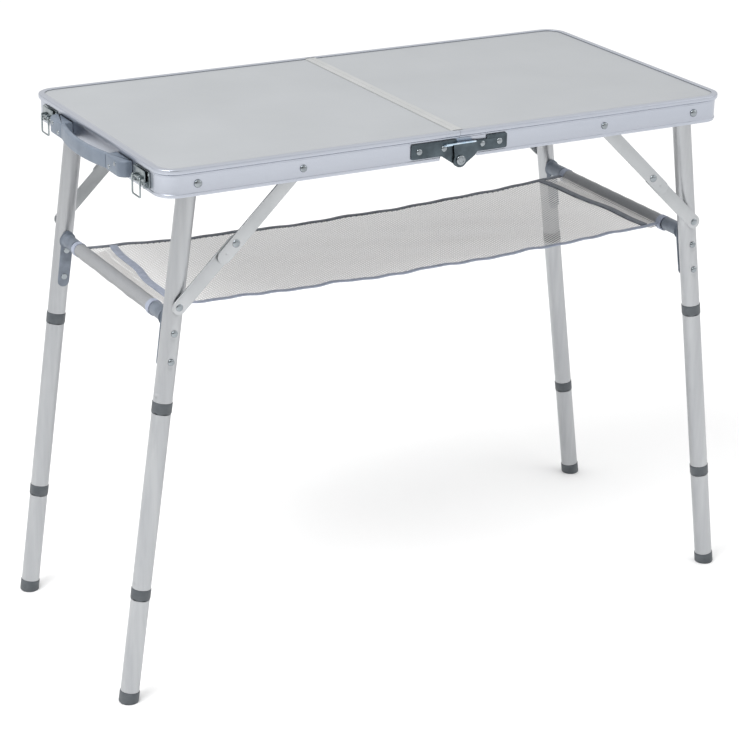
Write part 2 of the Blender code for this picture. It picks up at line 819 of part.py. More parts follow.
end_face = SKIRT_X + FIT
for face, end in ((-1, "front"), (1, "rear")):
    outer, inner = HANDLE_HALF, HANDLE_HALF - BLOCK_LENGTH
    outline = [
        (end_face, outer),
        (end_face + BLOCK_OUT * 0.55, outer),
        (end_face + BLOCK_OUT, outer - 0.007),
        (end_face + BLOCK_OUT, inner),
        (end_face, inner),
    ]
    block = plate("handle_block_" + end, [(-x, face * y) for x, y in outline], HANDLE_HEIGHT)
    block.location = (0.0, 0.0, TOP_HEIGHT - HANDLE_DEPTH)
    bevel = block.modifiers.new("soften", "BEVEL")
    bevel.width = 0.0012
    bevel.segments = 1
    bevel.limit_method = "ANGLE"
    show(block, "handle")

span = HANDLE_HALF - BLOCK_LENGTH - FIT
bow = []
for i in range(13):
    y = -span + 2 * span * i / 12
    out = end_face + BLOCK_OUT - GRIP_THICKNESS + GRIP_BOW * (1.0 - (y / span) ** 2)
    bow.append((out, y))
outline = [(-x, y) for x, y in bow]
outline += [(-x - GRIP_THICKNESS, y) for x, y in reversed(bow)]
grip = plate("handle_grip", outline, HANDLE_HEIGHT - 0.001)
grip.location = (0.0, 0.0, TOP_HEIGHT - HANDLE_DEPTH)
show(grip, "handle")

# ---- draw latches on the left end, keepers on the right end ----

for face, end in ((-1, "front"), (1, "rear")):
    y = face * LATCH_Y
    wide = LATCH_WIDTH / 2
    top, low = TOP_HEIGHT - LATCH_TOP_DEPTH, TOP_HEIGHT - LATCH_LOW_DEPTH
    pivot = (-SKIRT_X - LATCH_PIVOT_OUT, y, TOP_HEIGHT - LATCH_PIVOT_DEPTH)
    base = box(
        "latch_base_" + end,
        (-end_face - 0.0012, y - wide, low),
        (-end_face, y + wide, top),
    )
    for number, ear_y in enumerate((y - wide + 0.0040, y + wide - 0.0040)):
        ear = box(
            "latch_ear_" + end + "_" + str(number),
            (-end_face - 0.0072, ear_y - 0.0006, low),
            (-end_face - 0.0006, ear_y + 0.0006, TOP_HEIGHT - LATCH_PIVOT_DEPTH + 0.0036),
        )
        boolean(base, hide(ear), "UNION")
    boolean(base, hide(rods("latch_ear_holes_" + end, [(pivot, 0.0015 + FIT, 0.06)], 12)))
    show(base, "chrome")

    axle = empty_at("latch_axis_" + end, pivot)
    wing = wide - 0.0040 - 0.0006 - FIT
    lever = box(
        "latch_lever_" + end,
        (pivot[0] - 0.0006, y - wing, pivot[2] - 0.0004),
        (pivot[0] + 0.0006, y + wing, top - 0.0003),
    )
    pins = [(pivot, 0.0022, 2 * wing - 0.0008)]
    boolean(lever, hide(rods("latch_barrel_" + end, pins, 12)), "UNION")
    pins = [(pivot, 0.0015, 2 * (wide - 0.0025))]
    boolean(lever, hide(rods("latch_pin_" + end, pins, 12)), "UNION")
    loop_x = -SKIRT_X - LOOP_PIVOT_OUT
    loop_z = TOP_HEIGHT - LOOP_PIVOT_DEPTH
    for number, lug_y in enumerate((y - 0.008, y + 0.008)):
        lug = box(
            "latch_lug_" + end + "_" + str(number),
            (loop_x - 0.0022, lug_y - 0.0014, loop_z - 0.0022),
            (pivot[0], lug_y + 0.0014, loop_z + 0.0022),
        )
        boolean(lever, hide(lug), "UNION")
    hole = rods("latch_lug_holes_" + end, [((loop_x, y, loop_z), LOOP_WIRE + FIT, 0.03)], 12)
    boolean(lever, hide(hole))
    show(hang(lever, axle), "chrome")

    axle = empty_at("loop_axis_" + end, (loop_x, y, loop_z))
    cut, half_y, drop = 0.0018, LOOP_HALF, LOOP_DROP
    corners = [
        (0.0, -half_y + cut, 0.0),
        (0.0, half_y - cut, 0.0),
        (0.0, half_y, -cut),
        (0.0, half_y, -drop + cut),
        (0.0, half_y - cut, -drop),
        (0.0, -half_y + cut, -drop),
        (0.0, -half_y, -drop + cut),
        (0.0, -half_y, -cut),
    ]
    wire = poly_curve("latch_loop_" + end, corners, True, "3D")
    wire.data.bevel_depth = LOOP_WIRE
    wire.data.bevel_resolution = 2
    wire.location = (loop_x, y, loop_z)
    loop = as_mesh(wire, "latch_loop_" + end)
    loop.location = (loop_x, y, loop_z)
    show(hang(loop, axle), "chrome")

    outline = [
        (0.0, -0.0200),
        (0.0012, -0.0200),
        (0.0012, -0.0286),
        (0.0045, -0.0286),
        (0.0045, -0.0245),
        (0.0057, -0.0245),
        (0.0057, -0.0298),
        (0.0, -0.0298),
    ]
    keeper = plate("keeper_" + end, [(end_face + x, z) for x, z in outline], KEEPER_WIDTH)
    show(upright(keeper, 0.0, y, TOP_HEIGHT), "chrome")
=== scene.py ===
# %% [markdown]
# A folding aluminium camping table, shown in use: a two-part laminate top in an edge
# profile, four legs of three plugged tube sections, two-bar braces and a mesh shelf.
# The CAD part gives every place and size. This script gives the visible surfaces: each one
# is an array of points worked out with numpy, and each finish is built from shader nodes.

# %% Load the frame
import json
import math

import bmesh
import bpy
import numpy as np
from mathutils import Matrix

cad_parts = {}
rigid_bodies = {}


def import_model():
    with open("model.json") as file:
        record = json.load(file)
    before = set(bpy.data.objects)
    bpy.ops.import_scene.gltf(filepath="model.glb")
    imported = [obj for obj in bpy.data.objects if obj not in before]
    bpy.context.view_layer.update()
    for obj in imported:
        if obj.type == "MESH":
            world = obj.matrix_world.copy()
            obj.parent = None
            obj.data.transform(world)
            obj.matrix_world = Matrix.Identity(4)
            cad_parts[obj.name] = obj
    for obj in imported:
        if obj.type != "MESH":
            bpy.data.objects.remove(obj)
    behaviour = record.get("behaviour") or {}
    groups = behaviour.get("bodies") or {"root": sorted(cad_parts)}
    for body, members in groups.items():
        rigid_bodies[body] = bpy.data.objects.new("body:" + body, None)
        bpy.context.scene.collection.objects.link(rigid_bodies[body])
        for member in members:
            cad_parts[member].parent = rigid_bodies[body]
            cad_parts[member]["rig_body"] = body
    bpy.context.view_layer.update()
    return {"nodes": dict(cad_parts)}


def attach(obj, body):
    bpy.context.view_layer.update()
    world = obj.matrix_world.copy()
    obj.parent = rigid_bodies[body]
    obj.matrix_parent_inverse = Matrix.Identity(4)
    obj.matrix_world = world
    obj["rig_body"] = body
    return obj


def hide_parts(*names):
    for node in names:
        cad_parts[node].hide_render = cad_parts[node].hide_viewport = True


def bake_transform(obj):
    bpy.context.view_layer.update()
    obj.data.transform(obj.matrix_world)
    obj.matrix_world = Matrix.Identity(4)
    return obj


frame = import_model()

# %% [markdown]
# The sizes that the surfaces share with the part. The table is 80 by 41 cm and 69.5 cm high.
# They could be typed where they are used, but kept in one place they stay in step: a tube, its
# collar and its rivets always agree.

# %% Shared sizes, in metres
TOP_LENGTH, TOP_WIDTH, TOP_HEIGHT = 0.800, 0.410, 0.695
CORNER_RADIUS = 0.028
LIP_OVERHANG, LIP_DEPTH, SKIRT_DEPTH = 0.003, 0.006, 0.035
SKIRT_X, SKIRT_Y = TOP_LENGTH / 2 - LIP_OVERHANG, TOP_WIDTH / 2 - LIP_OVERHANG
PIVOT_X, PIVOT_Z, LEG_Y = 0.3516, TOP_HEIGHT - 0.020, 0.174
SPLAY = math.radians(7.79)
TUBE_RADIUS, TUBE_WALL, COLLAR_LENGTH = 0.012, 0.0015, 0.0145
# Distances down a leg from its pivot: where its three tubes end, and where its brace joins.
UPPER_END, MIDDLE_END, LOWER_END, BRACE_ON_LEG = 0.279, 0.525, 0.666, 0.1554
LEG_LENGTH = PIVOT_Z / math.cos(SPLAY)
BRACE_X = 0.214
FIT = 0.0003  # the gap left between two pieces that touch
ENDS = ((-1, "front"), (1, "rear"))
HALVES = ((-1, "left"), (1, "right"))
LEGS = [(side, half, face, end) for side, half in HALVES for face, end in ENDS]
X_AXIS, Y_AXIS, Z_AXIS = np.eye(3)
print("leg length along its axis, mm:", round(1000 * LEG_LENGTH))


# %% [markdown]
# Colours are written as sRGB hex, as a paint chart gives them, and one function turns them to
# the linear values that the shader adds up light with. A second one adds a node, sets its
# sockets and links them, so a material reads as a list of steps.

# %% Colour and node helpers
def linear(code):
    """An sRGB hex colour as linear RGBA: c/12.92 below 0.04045, else ((c+0.055)/1.055)^2.4."""
    c = np.array([int(code[i : i + 2], 16) for i in (1, 3, 5)]) / 255
    low, high = c / 12.92, ((c + 0.055) / 1.055) ** 2.4
    return (*np.where(c <= 0.04045, low, high).tolist(), 1.0)


def add(material, kind, sets=None, links=None):
    """Adds a node. sets gives sockets or settings their values, links gives sockets theirs."""
    node = material.node_tree.nodes.new(kind)
    for key, value in (sets or {}).items():
        if isinstance(key, str) and hasattr(node, key) and key not in node.inputs:
            setattr(node, key, value)
        else:
            node.inputs[key].default_value = value
    for key, socket in (links or {}).items():
        material.node_tree.links.new(socket, node.inputs[key])
    return node


def new_material(name, colour, roughness, metallic=0.0, **sockets):
    """A Principled material. Uniform values are set on the shader's own sockets."""
    made = bpy.data.materials.new(name)
    made.use_nodes = True
    shader = made.node_tree.nodes["Principled BSDF"]
    shader.inputs["Base Color"].default_value = linear(colour)
    shader.inputs["Roughness"].default_value = roughness
    shader.inputs["Metallic"].default_value = metallic
    for key, value in sockets.items():
        shader.inputs[key.replace("_", " ")].default_value = value
    return made, shader


def ramp(material, factor, stops):
    """A colour ramp over factor, from (position, hex colour) stops."""
    node = add(material, "ShaderNodeValToRGB", links={"Fac": factor})
    bar = node.color_ramp
    for _ in stops[2:]:
        bar.elements.new(0.5)
    for element, (place, colour) in zip(bar.elements, stops):
        element.position = place
        element.color = linear(colour)
    return node


def spread(material, factor, low, high):
    """A value from low to high as factor goes from 0 to 1."""
    limits = {"To Min": low, "To Max": high}
    node = add(material, "ShaderNodeMapRange", limits, {"Value": factor})
    return node.outputs["Result"]


def wire(material, source, target):
    """Links an output to an input."""
    material.node_tree.links.new(source, target)


print("#808080 is", round(linear("#808080")[0], 3), "of white in linear light")

# %% [markdown]
# Satin metals and moulded plastics share one build: a fine grain in the bump, and a slow
# cloudiness in colour and roughness. An image could be wrapped round each piece, but noise on
# Object coordinates has no seams and keeps its scale in millimetres. A tube that was drawn
# through a die has its grain along its length, so its noise is stretched along Z. The real
# grain is about a tenth of a millimetre, too fine to show, so it is drawn 1 to 1.6 mm wide.

# %% The build of a satin finish
GRAIN_HEIGHT = 0.0002


def grain(material, size_mm, stretch=(1, 1, 1), detail=2.0):
    """Noise on Object coordinates, its cells size_mm across times stretch along each axis."""
    place = add(material, "ShaderNodeTexCoord")
    scale = [1000.0 / size_mm / s for s in stretch]
    mapped = add(material, "ShaderNodeMapping", {"Scale": scale},
                 {"Vector": place.outputs["Object"]})
    noise = add(material, "ShaderNodeTexNoise",
                {"Scale": 1.0, "Detail": detail, "Roughness": 0.55},
                {"Vector": mapped.outputs["Vector"]})
    return noise.outputs["Fac"]


def satin(name, tones, rough, fine_mm, cloud_mm, bump, stretch=(1, 1, 1), metallic=0.0):
    """Colour moves between two hex tones in clouds cloud_mm across, and roughness between the
    two values of rough, with a bump, in grains fine_mm across."""
    made, shader = new_material(name, tones[1], rough[1], metallic)
    cloud, fine = grain(made, cloud_mm, stretch, 3.0), grain(made, fine_mm, stretch, 1.0)
    colour = ramp(made, cloud, [(0.3, tones[0]), (0.7, tones[1])])
    wire(made, colour.outputs["Color"], shader.inputs["Base Color"])
    wire(made, spread(made, fine, *rough), shader.inputs["Roughness"])
    raised = add(made, "ShaderNodeBump", {"Strength": bump, "Distance": GRAIN_HEIGHT},
                 {"Height": fine})
    wire(made, raised.outputs["Normal"], shader.inputs["Normal"])
    return made


print("grain height, mm:", 1000 * GRAIN_HEIGHT)

# %% [markdown]
# The frame, the legs and the braces are aluminium, the hinges, latches and rods plated steel.
# One grey metal could serve for all, but it is the small differences, in tone and in how wide
# a highlight spreads, that let the eye tell an extrusion from a rolled bar or a plating.

# %% Metals
# Anodised aluminium, extruded: an even satin with faint die lines along the profile.
profile_metal = satin("anodised_aluminium_extruded", ("#AEB3BD", "#B9BDC6"), (0.26, 0.40),
                      1.2, 45, 0.10, (30, 30, 1), 1.0)

# Aluminium tube, drawn and anodised: long soft streaks down each leg.
tube_metal = satin("anodised_aluminium_drawn", ("#A8AAAD", "#B3B5B7"), (0.30, 0.44),
                   1.5, 9, 0.12, (1, 1, 40), 1.0)

# Aluminium flat bar, rolled: the same alloy, a little duller.
bar_metal = satin("aluminium_flat_bar_rolled", ("#AAADAF", "#B9BBBD"), (0.32, 0.46),
                  1.6, 14, 0.12, (6, 1, 6), 1.0)

# Zinc-plated steel, dark passivated: the blue-black of the hinge plates, a little cloudy.
hinge_metal = satin("zinc_plate_dark_passivated", ("#454D52", "#586268"), (0.30, 0.42),
                    1.0, 14, 0.08, metallic=1.0)

# The steel of the right hinge plate, drawn bright with a blue cast on the flange that is bent out,
# where its face turns up to the light: painted light.
zinc = satin("zinc_plate_flange_painted_light", ("#A9C4D8", "#D5E0E9"), (0.20, 0.34),
             1.0, 10, 0.05, metallic=1.0)

# Nickel-plated steel rivets, smooth enough to mirror the studio; their colour is set dark to stand
# in for the dark room that they reflect: painted reflection.
rivet_metal = satin("nickel_plate_painted_dark", ("#868C90", "#9AA0A4"), (0.07, 0.14),
                    1.0, 10, 0.02, metallic=1.0)

# Zinc plate, clear passivated, on the thin steel of latches and keepers: a soft grey gloss.
latch_metal = satin("zinc_plate_clear", ("#7E878A", "#A2A9AB"), (0.20, 0.34),
                    1.0, 9, 0.06, metallic=1.0)

# Steel rod, drawn and plated: brighter, with its streaks along the rod.
rod_metal = satin("steel_rod_plated", ("#A3A6A8", "#C9CBCC"), (0.20, 0.34),
                  1.0, 10, 0.06, (1, 30, 1), 1.0)
print("metals:", len(bpy.data.materials))

# %% [markdown]
# Moulded plastic parts come out of a spark-eroded mould, so their skin is finely pitted, which
# breaks up the gloss. A real pit is a third of a millimetre wide and is drawn at 0.7 mm, or it
# wouldn't show. The laminate board is printed paper under melamine: nearly even grey, with a
# faint fleck and a soft sheen. Each could have its own node tree, but only the sizes and the
# tones differ, so all of them use the build of the metals with no metallic.

# %% Plastics, paint and laminate
# Polypropylene, moulded: the dark grey collars and feet, dull from handling.
leg_plastic = satin("polypropylene_dark_grey", ("#464B50", "#555A5E"), (0.44, 0.60),
                    0.7, 16, 0.18)

# Polypropylene, moulded: the blue-grey handle, a little smoother in the hand.
handle_plastic = satin("polypropylene_blue_grey", ("#626C79", "#737D8A"), (0.40, 0.54),
                       0.8, 20, 0.16)

# Nylon, moulded: the brackets of the cross rods, between the two in tone.
bracket_plastic = satin("nylon_grey", ("#5F6772", "#767E89"), (0.42, 0.56), 0.7, 14, 0.14)

# Painted aluminium: the strip along the fold is coated to match the board.
strip_paint = satin("aluminium_painted_grey", ("#A0A2A2", "#A9AAAA"), (0.38, 0.46),
                    1.0, 60, 0.05)

# Melamine laminate, pressed: an even grey with clouds as wide as a hand.
laminate = satin("melamine_laminate_grey", ("#989B9E", "#9DA0A3"), (0.38, 0.46),
                 1.1, 140, 0.05)
print("finishes:", len(bpy.data.materials))

# %% [markdown]
# Every new surface here is a grid of points: rows along the piece, columns round it. Blender's
# own cylinders and cubes could be cut and joined instead, but a grid takes any section, and
# where its columns close and its ends are capped it is watertight by itself. Its UV map is
# measured in metres, along and round.

# %% Grids to meshes
def grid(points, close_rows=False):
    """Vertices, quads and corner UVs of a (rows, columns, 3) grid whose columns close up."""
    rows, columns = points.shape[:2]
    i, j = np.meshgrid(np.arange(rows - (not close_rows)), np.arange(columns), indexing="ij")
    at = np.stack([i, i, i + 1, i + 1], -1), np.stack([j, j + 1, j + 1, j], -1)
    faces = (at[0] % rows) * columns + at[1] % columns
    step_down = np.linalg.norm(np.roll(points, -1, 0) - points, axis=2).mean(1)
    step_round = np.linalg.norm(np.roll(points, -1, 1) - points, axis=2).mean(0)
    down = np.concatenate([[0.0], np.cumsum(step_down)])
    around = np.concatenate([[0.0], np.cumsum(step_round)])
    corner_uv = np.stack([around[at[1]], down[at[0]]], -1).reshape(-1, 2)
    polygons = faces.reshape(-1, 4).tolist()
    if not close_rows:
        last = (rows - 1) * columns
        polygons += [list(range(columns)), list(range(last, last + columns))]
        ends = np.stack([around[:-1], 0 * around[:-1]], -1)
        corner_uv = np.concatenate([corner_uv, ends, ends + [0.0, down[rows - 1]]])
    return points.reshape(-1, 3), polygons, corner_uv


def piece(name, grids, material, body, replaces=(), smooth=35.0):
    """One object from several grids: merged, faces outward, smooth to an angle, on a body."""
    points, polygons, uvs, start = [], [], [], 0
    for vertices, faces, corner_uv in grids:
        points.append(vertices)
        polygons += [[start + v for v in face] for face in faces]
        uvs.append(corner_uv)
        start += len(vertices)
    mesh = bpy.data.meshes.new(name)
    mesh.from_pydata(np.concatenate(points).tolist(), [], polygons)
    layer = mesh.uv_layers.new(name="along")
    layer.data.foreach_set("uv", np.concatenate(uvs).astype(np.float32).ravel())
    work = bmesh.new()
    work.from_mesh(mesh)
    bmesh.ops.remove_doubles(work, verts=work.verts, dist=2e-6)
    bmesh.ops.recalc_face_normals(work, faces=work.faces)
    work.to_mesh(mesh)
    work.free()
    mesh.materials.append(material)
    mesh.shade_smooth()
    mesh.set_sharp_from_angle(angle=math.radians(smooth))
    obj = bpy.data.objects.new(name, mesh)
    bpy.context.scene.collection.objects.link(obj)
    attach(obj, body)
    if replaces:
        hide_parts(*replaces)
    return obj


def turned(profile, count=48):
    """A profile of (radius, height) rows turned about Z: (r cos a, r sin a, z)."""
    r, z = np.array(profile, float).T
    a = np.linspace(0.0, 2 * np.pi, count, endpoint=False)
    return np.stack([np.outer(r, np.cos(a)), np.outer(r, np.sin(a)), np.outer(z, a * 0 + 1)], -1)


def barrel(radius, low, high, count=24):
    """A closed round bar from low to high along Z."""
    return turned([(0, low), (radius, low), (radius, high), (0, high)], count)


def carried(path, across, up, section):
    """A closed section carried along a path: point (a, b) at station p is p + a across + b up.
    across and up are one vector for the whole path, or one for each station."""
    across, up = np.broadcast_to(across, path.shape), np.broadcast_to(up, path.shape)
    a, b = section[None, :, :1], section[None, :, 1:]
    return path[:, None] + a * across[:, None] + b * up[:, None]


def placed(points, origin, x, y, z):
    """Local points put at origin along three axes: origin + px x + py y + pz z."""
    return np.array(origin, float) + points @ np.array([x, y, z], float)


def facing(points, origin, out):
    """Local points put at origin with X along the table, Y up and Z toward out."""
    return placed(points, origin, X_AXIS, Z_AXIS, out)


print("a turned square:", turned([(1, 0), (1, 1), (0, 1), (0, 0)]).shape[:2], "rows, columns")


# %% [markdown]
# Sheet metal and moulded edges are never quite sharp, and it's the thin highlight on the edge
# that tells the eye so. A Bevel modifier could round them after the fact. Here outlines get
# their corners eased with a quadratic curve, and plates get a quarter-round along both faces,
# so that each radius is chosen with the shape.

# %% Outlines and plates
def arc(centre, radius, start, end, steps):
    """Points on a circle between two angles in degrees."""
    a = np.radians(np.linspace(start, end, steps))
    return np.stack([centre[0] + radius * np.cos(a), centre[1] + radius * np.sin(a)], -1)


def eased(corners, radii, steps=4):
    """A closed outline with eased corners: corner c becomes (1-t)^2 a + 2t(1-t) c + t^2 b, with
    a and b one radius away from c on its two edges."""
    c = np.array(corners, float)
    r = np.broadcast_to(np.array(radii, float), len(c))[:, None]
    back, ahead = np.roll(c, 1, 0) - c, np.roll(c, -1, 0) - c
    a = c + back / np.linalg.norm(back, axis=1, keepdims=True) * r
    b = c + ahead / np.linalg.norm(ahead, axis=1, keepdims=True) * r
    t = np.linspace(0, 1, steps)[None, :, None]
    curve = (1 - t) ** 2 * a[:, None] + 2 * t * (1 - t) * c[:, None] + t**2 * b[:, None]
    return curve.reshape(-1, 2)


def distinct(outline):
    """The outline without points that lie on the one before."""
    gap = np.linalg.norm(outline - np.roll(outline, 1, 0), axis=1)
    return outline[gap > 1e-7]


def plate(outline, thickness, edge, steps=4):
    """A flat plate in local XY: rings of the outline moved inward by n at height h, where (n, h)
    goes round a quarter circle of radius edge at each face."""
    line = distinct(np.array(outline, float))
    ahead, back = np.roll(line, -1, 0) - line, line - np.roll(line, 1, 0)
    ahead /= np.linalg.norm(ahead, axis=1, keepdims=True)
    back /= np.linalg.norm(back, axis=1, keepdims=True)
    after = np.roll(line, -1, 0)
    turn = np.sign(np.sum(line[:, 0] * after[:, 1] - line[:, 1] * after[:, 0]))
    normal = turn * np.stack([-(ahead + back)[:, 1], (ahead + back)[:, 0]], -1)
    normal /= 0.5 * np.sum((ahead + back) ** 2, axis=1, keepdims=True)
    t = np.linspace(0, np.pi / 2, steps)
    inset = edge * (1 - np.sin(t))
    height = thickness / 2 - edge * (1 - np.cos(t))
    inset, height = np.concatenate([inset, inset[::-1]]), np.concatenate([height, -height[::-1]])
    flat = line[None] + inset[:, None, None] * normal[None]
    return np.concatenate([flat, np.broadcast_to(height[:, None, None], flat.shape[:2] + (1,))], 2)


def dome(centre, axis, radius, height, shank=0.0012):
    """A rivet's head: (R sin t, h cos t) turned about its axis, with a short shank behind it."""
    t = np.linspace(0, np.pi / 2, 7)
    head = np.stack([radius * np.sin(t), height * np.cos(t) ** 0.8], -1)
    tail = [[radius * 0.98, -0.0002], [radius * 0.6, -0.0002], [radius * 0.6, -shank], [0, -shank]]
    z = np.array(axis, float)
    x = np.cross(z, [0.36, 0.48, 0.8])
    x /= np.linalg.norm(x)
    return grid(placed(turned(np.concatenate([head, tail]), 24), centre, x, np.cross(z, x), z))


print("an eased square:", len(eased([(0, 0), (1, 0), (1, 1), (0, 1)], 0.1)), "points")

# %% [markdown]
# The edge profile is one aluminium extrusion, bent round each half of the top. On the real
# table it is pushed through a die, so its section is the same everywhere: a rolled lip that
# holds the board, a skirt with two fine ribs, and a small foot turned inward. A curve with a
# bevel object would follow the corners too. Carrying the section along the bent line as one
# array does the same, and lets the foot be cut away beside the hinge.

# %% Edge profile
WALL, LIP_WIDTH, LIP_THICK, FOOT_TURN = 0.0016, 0.0080, 0.0010, 0.0042
LEDGE_WIDTH, LEDGE_TOP, LEDGE_LOW = 0.0160, -0.0050, -0.0062
RIB_DEPTHS, RIB_OUT = (0.0078, 0.0318), 0.0008
SPLIT, NOTCH_X, NOTCH_Z = 0.00015, 0.027, -0.0295
STRIP_IN, STRIP_LEDGE = 0.00765, 0.01765


def profile_section():
    """(distance inward, height) round the extrusion, corners eased by what the die leaves."""
    skin, wall, foot = LIP_OVERHANG, LIP_OVERHANG + WALL, LIP_OVERHANG + FOOT_TURN
    low, rib, inside = -SKIRT_DEPTH, LIP_OVERHANG - RIB_OUT, LIP_OVERHANG + WALL + 0.0012
    corners = [(LIP_WIDTH, 0, 0.0003), (0, 0, 0.0017), (0, -LIP_DEPTH, 0.0011),
               (skin, -LIP_DEPTH - 0.0002, 0.0002)]
    for depth in RIB_DEPTHS:
        corners += [(skin, -depth + 0.0013, 0.0002), (rib, -depth + 0.0008, 0.0004),
                    (rib, -depth - 0.0008, 0.0004), (skin, -depth - 0.0013, 0.0002)]
    corners += [(skin, low, 0.0005), (foot, low, 0.0003), (foot, low + 0.0012, 0.0003),
                (wall, low + 0.0012, 0), (wall, LEDGE_LOW, 0), (LEDGE_WIDTH, LEDGE_LOW, 0.0003),
                (LEDGE_WIDTH, LEDGE_TOP, 0.0003), (inside, LEDGE_TOP, 0),
                (inside, -LIP_THICK, 0), (LIP_WIDTH, -LIP_THICK, 0.0003)]
    corners = np.array(corners)
    return distinct(eased(corners[:, :2], corners[:, 2], 5))


def half_line(side):
    """One half's bent line: from the fold, round two corners and back, with inward normals."""
    r, half, end = CORNER_RADIUS, TOP_WIDTH / 2, TOP_LENGTH / 2
    straight = np.concatenate([[SPLIT, NOTCH_X - 1e-6, NOTCH_X],
                               np.linspace(0.06, end - r - 0.001, 8)])
    front = np.stack([straight, 0 * straight - half], -1)
    bend = arc((end - r, r - half), r, -90, 0, 16)
    stretch = np.linspace(r - half + 0.001, half - r - 0.001, 8)
    tip = np.stack([0 * stretch + end, stretch], -1)
    line = np.concatenate([front, bend, tip, bend[::-1] * [1, -1], front[::-1] * [1, -1]])
    inner = np.clip(line, [-end, r - half], [end - r, half - r])
    inward = (inner - line) / np.linalg.norm(inner - line, axis=1, keepdims=True)
    return line * [side, 1], inward * [side, 1]


section = profile_section()
for side, half in HALVES:
    line, inward = half_line(side)
    n, z = section.T
    notch = (np.abs(line[:, 0]) < NOTCH_X - 1e-7)[:, None] & (z < NOTCH_Z)[None]
    deep = np.where(notch, NOTCH_Z, z[None])
    wide = np.where(notch, np.minimum(n, LIP_OVERHANG + WALL)[None], n[None])
    flat = line[:, None] + wide[..., None] * inward[:, None]
    points = np.concatenate([flat, (TOP_HEIGHT + deep)[..., None]], 2)
    made = piece(f"edge_profile_{half}", [grid(points)], profile_metal, f"{half}_top",
                 [f"{half}_frame"])
    strip = eased([(SPLIT, 0), (STRIP_IN, 0), (STRIP_IN, LEDGE_TOP), (STRIP_LEDGE, LEDGE_TOP),
                   (STRIP_LEDGE, LEDGE_LOW), (SPLIT, LEDGE_LOW)],
                  [0.0003, 0.0008, 0.0001, 0.0003, 0.0003, 0.0003])
    ends = np.array([[0, face * (TOP_WIDTH / 2 - 0.006), TOP_HEIGHT] for face in (-1, 1)])
    bar = carried(ends, side * X_AXIS, Z_AXIS, distinct(strip))
    piece(f"centre_strip_{half}", [grid(bar)], strip_paint, f"{half}_top")
    print(made.name, len(line), "stations,", len(made.data.polygons), "faces")

# %% [markdown]
# The legs are drawn tube with a 1.5 mm wall. Where a rivet goes through, the press has left
# a flat on the outer side, and just above each collar a small punch holds the plug. A normal
# map could hint at them, but they show in the outline of the tube, so they are changes of its
# radius and part of the surface.

# %% Leg tubes
PINS = (0.1900, 0.2260)  # down the leg, the two rivets of the rod's bracket
# Where each flat lies down the leg, its half width and its depth.
FLATS = [(BRACE_ON_LEG, 0.011, 0.0012), *((pin, 0.009, 0.0009) for pin in PINS),
         (0.0, 0.013, 0.0008)]
PUNCH_UP, PUNCH_WIDTH, PUNCH_DEPTH, PUNCH_ANGLES = 0.008, 0.0016, 0.0008, (0.3, 2.6)
TUBE_TOP, RING_STEP = -0.006, 0.0016


def leg_axes(side, face):
    """Local axes on a leg: Y points away from the table, Z up the leg."""
    up = np.array([-side * math.sin(SPLAY), 0.0, math.cos(SPLAY)])
    out = face * Y_AXIS
    return np.cross(out, up), out, up


def on_leg(side, y, distance):
    """The point of a leg's axis that lies a distance down from its pivot."""
    return np.array([side * (PIVOT_X + distance * math.sin(SPLAY)), y,
                     PIVOT_Z - distance * math.cos(SPLAY)])


def tube(top, bottom, flats, punches, count=56):
    """A tube's wall from top to bottom. A flat holds local y below R - d exp(-((s-c)/w)^4); a
    punch takes d exp(-(distance/w)^2) off the radius round its point."""
    s = np.linspace(top, bottom, max(3, int((bottom - top) / RING_STEP)))
    a = np.linspace(0, 2 * np.pi, count, endpoint=False)
    radius = np.full((len(s), count), TUBE_RADIUS)
    for centre, angle in punches:
        round_about = TUBE_RADIUS * ((a - angle + np.pi) % (2 * np.pi) - np.pi)
        away = (s[:, None] - centre) ** 2 + round_about[None] ** 2
        radius -= PUNCH_DEPTH * np.exp(-away / PUNCH_WIDTH**2)
    x, y = radius * np.cos(a), radius * np.sin(a)
    for centre, width, depth in flats:
        pressed = depth * np.exp(-(((s - centre) / width) ** 4))
        y = np.minimum(y, np.where(pressed > 1e-5, TUBE_RADIUS - pressed, 1.0)[:, None])
    outer = np.stack([x, y, np.broadcast_to(-s[:, None], x.shape)], -1)
    bore = (TUBE_RADIUS - TUBE_WALL) / TUBE_RADIUS
    return np.concatenate([outer, (outer * [bore, bore, 1])[::-1]])


for side, half, face, end in LEGS:
    where, past_collar = f"{half}_{end}", FIT + COLLAR_LENGTH + FIT
    for name, top, bottom, body, flats, angles in (
        ("upper", TUBE_TOP, UPPER_END, f"{half}_legs", FLATS, PUNCH_ANGLES),
        ("middle", UPPER_END + past_collar, MIDDLE_END, f"middle_{where}", (), PUNCH_ANGLES),
        ("lower", MIDDLE_END + past_collar, LOWER_END, f"lower_{where}", (), ()),
    ):
        wall = tube(top, bottom, flats, [(bottom - PUNCH_UP, angle) for angle in angles])
        wall = placed(wall, on_leg(side, face * LEG_Y, 0.0), *leg_axes(side, face))
        piece(f"{name}_tube_{where}", [grid(wall, True)], tube_metal, body,
              [f"{name}_leg_{where}"])

# %% [markdown]
# A collar is one moulding: a plug up into one tube, a plug down into the next, and a flange
# between that shows as a dark ring. Its lower lip is scalloped, so that fingers can pull on
# it. The foot is a cap with a plug, its sole ground flat to stand on the floor. Both are round,
# so a profile turned about the leg makes them, as on a lathe or with the Screw modifier; the
# array form lets the scallops be one more term.

# %% Collars and feet
PLUG, BORE = TUBE_RADIUS - TUBE_WALL - FIT, 0.0075
PLUG_UP, PLUG_DOWN, CHAMFER = 0.028, 0.035, 0.0012
COLLAR_RADIUS, COLLAR_SOFT, SCALLOPS, SCALLOP_RISE = 0.0126, 0.0006, 6, 0.0014
FOOT_RADIUS, FOOT_ROUND, FOOT_PLUG, SOLE_PAST = 0.0128, 0.0028, 0.025, 0.0018


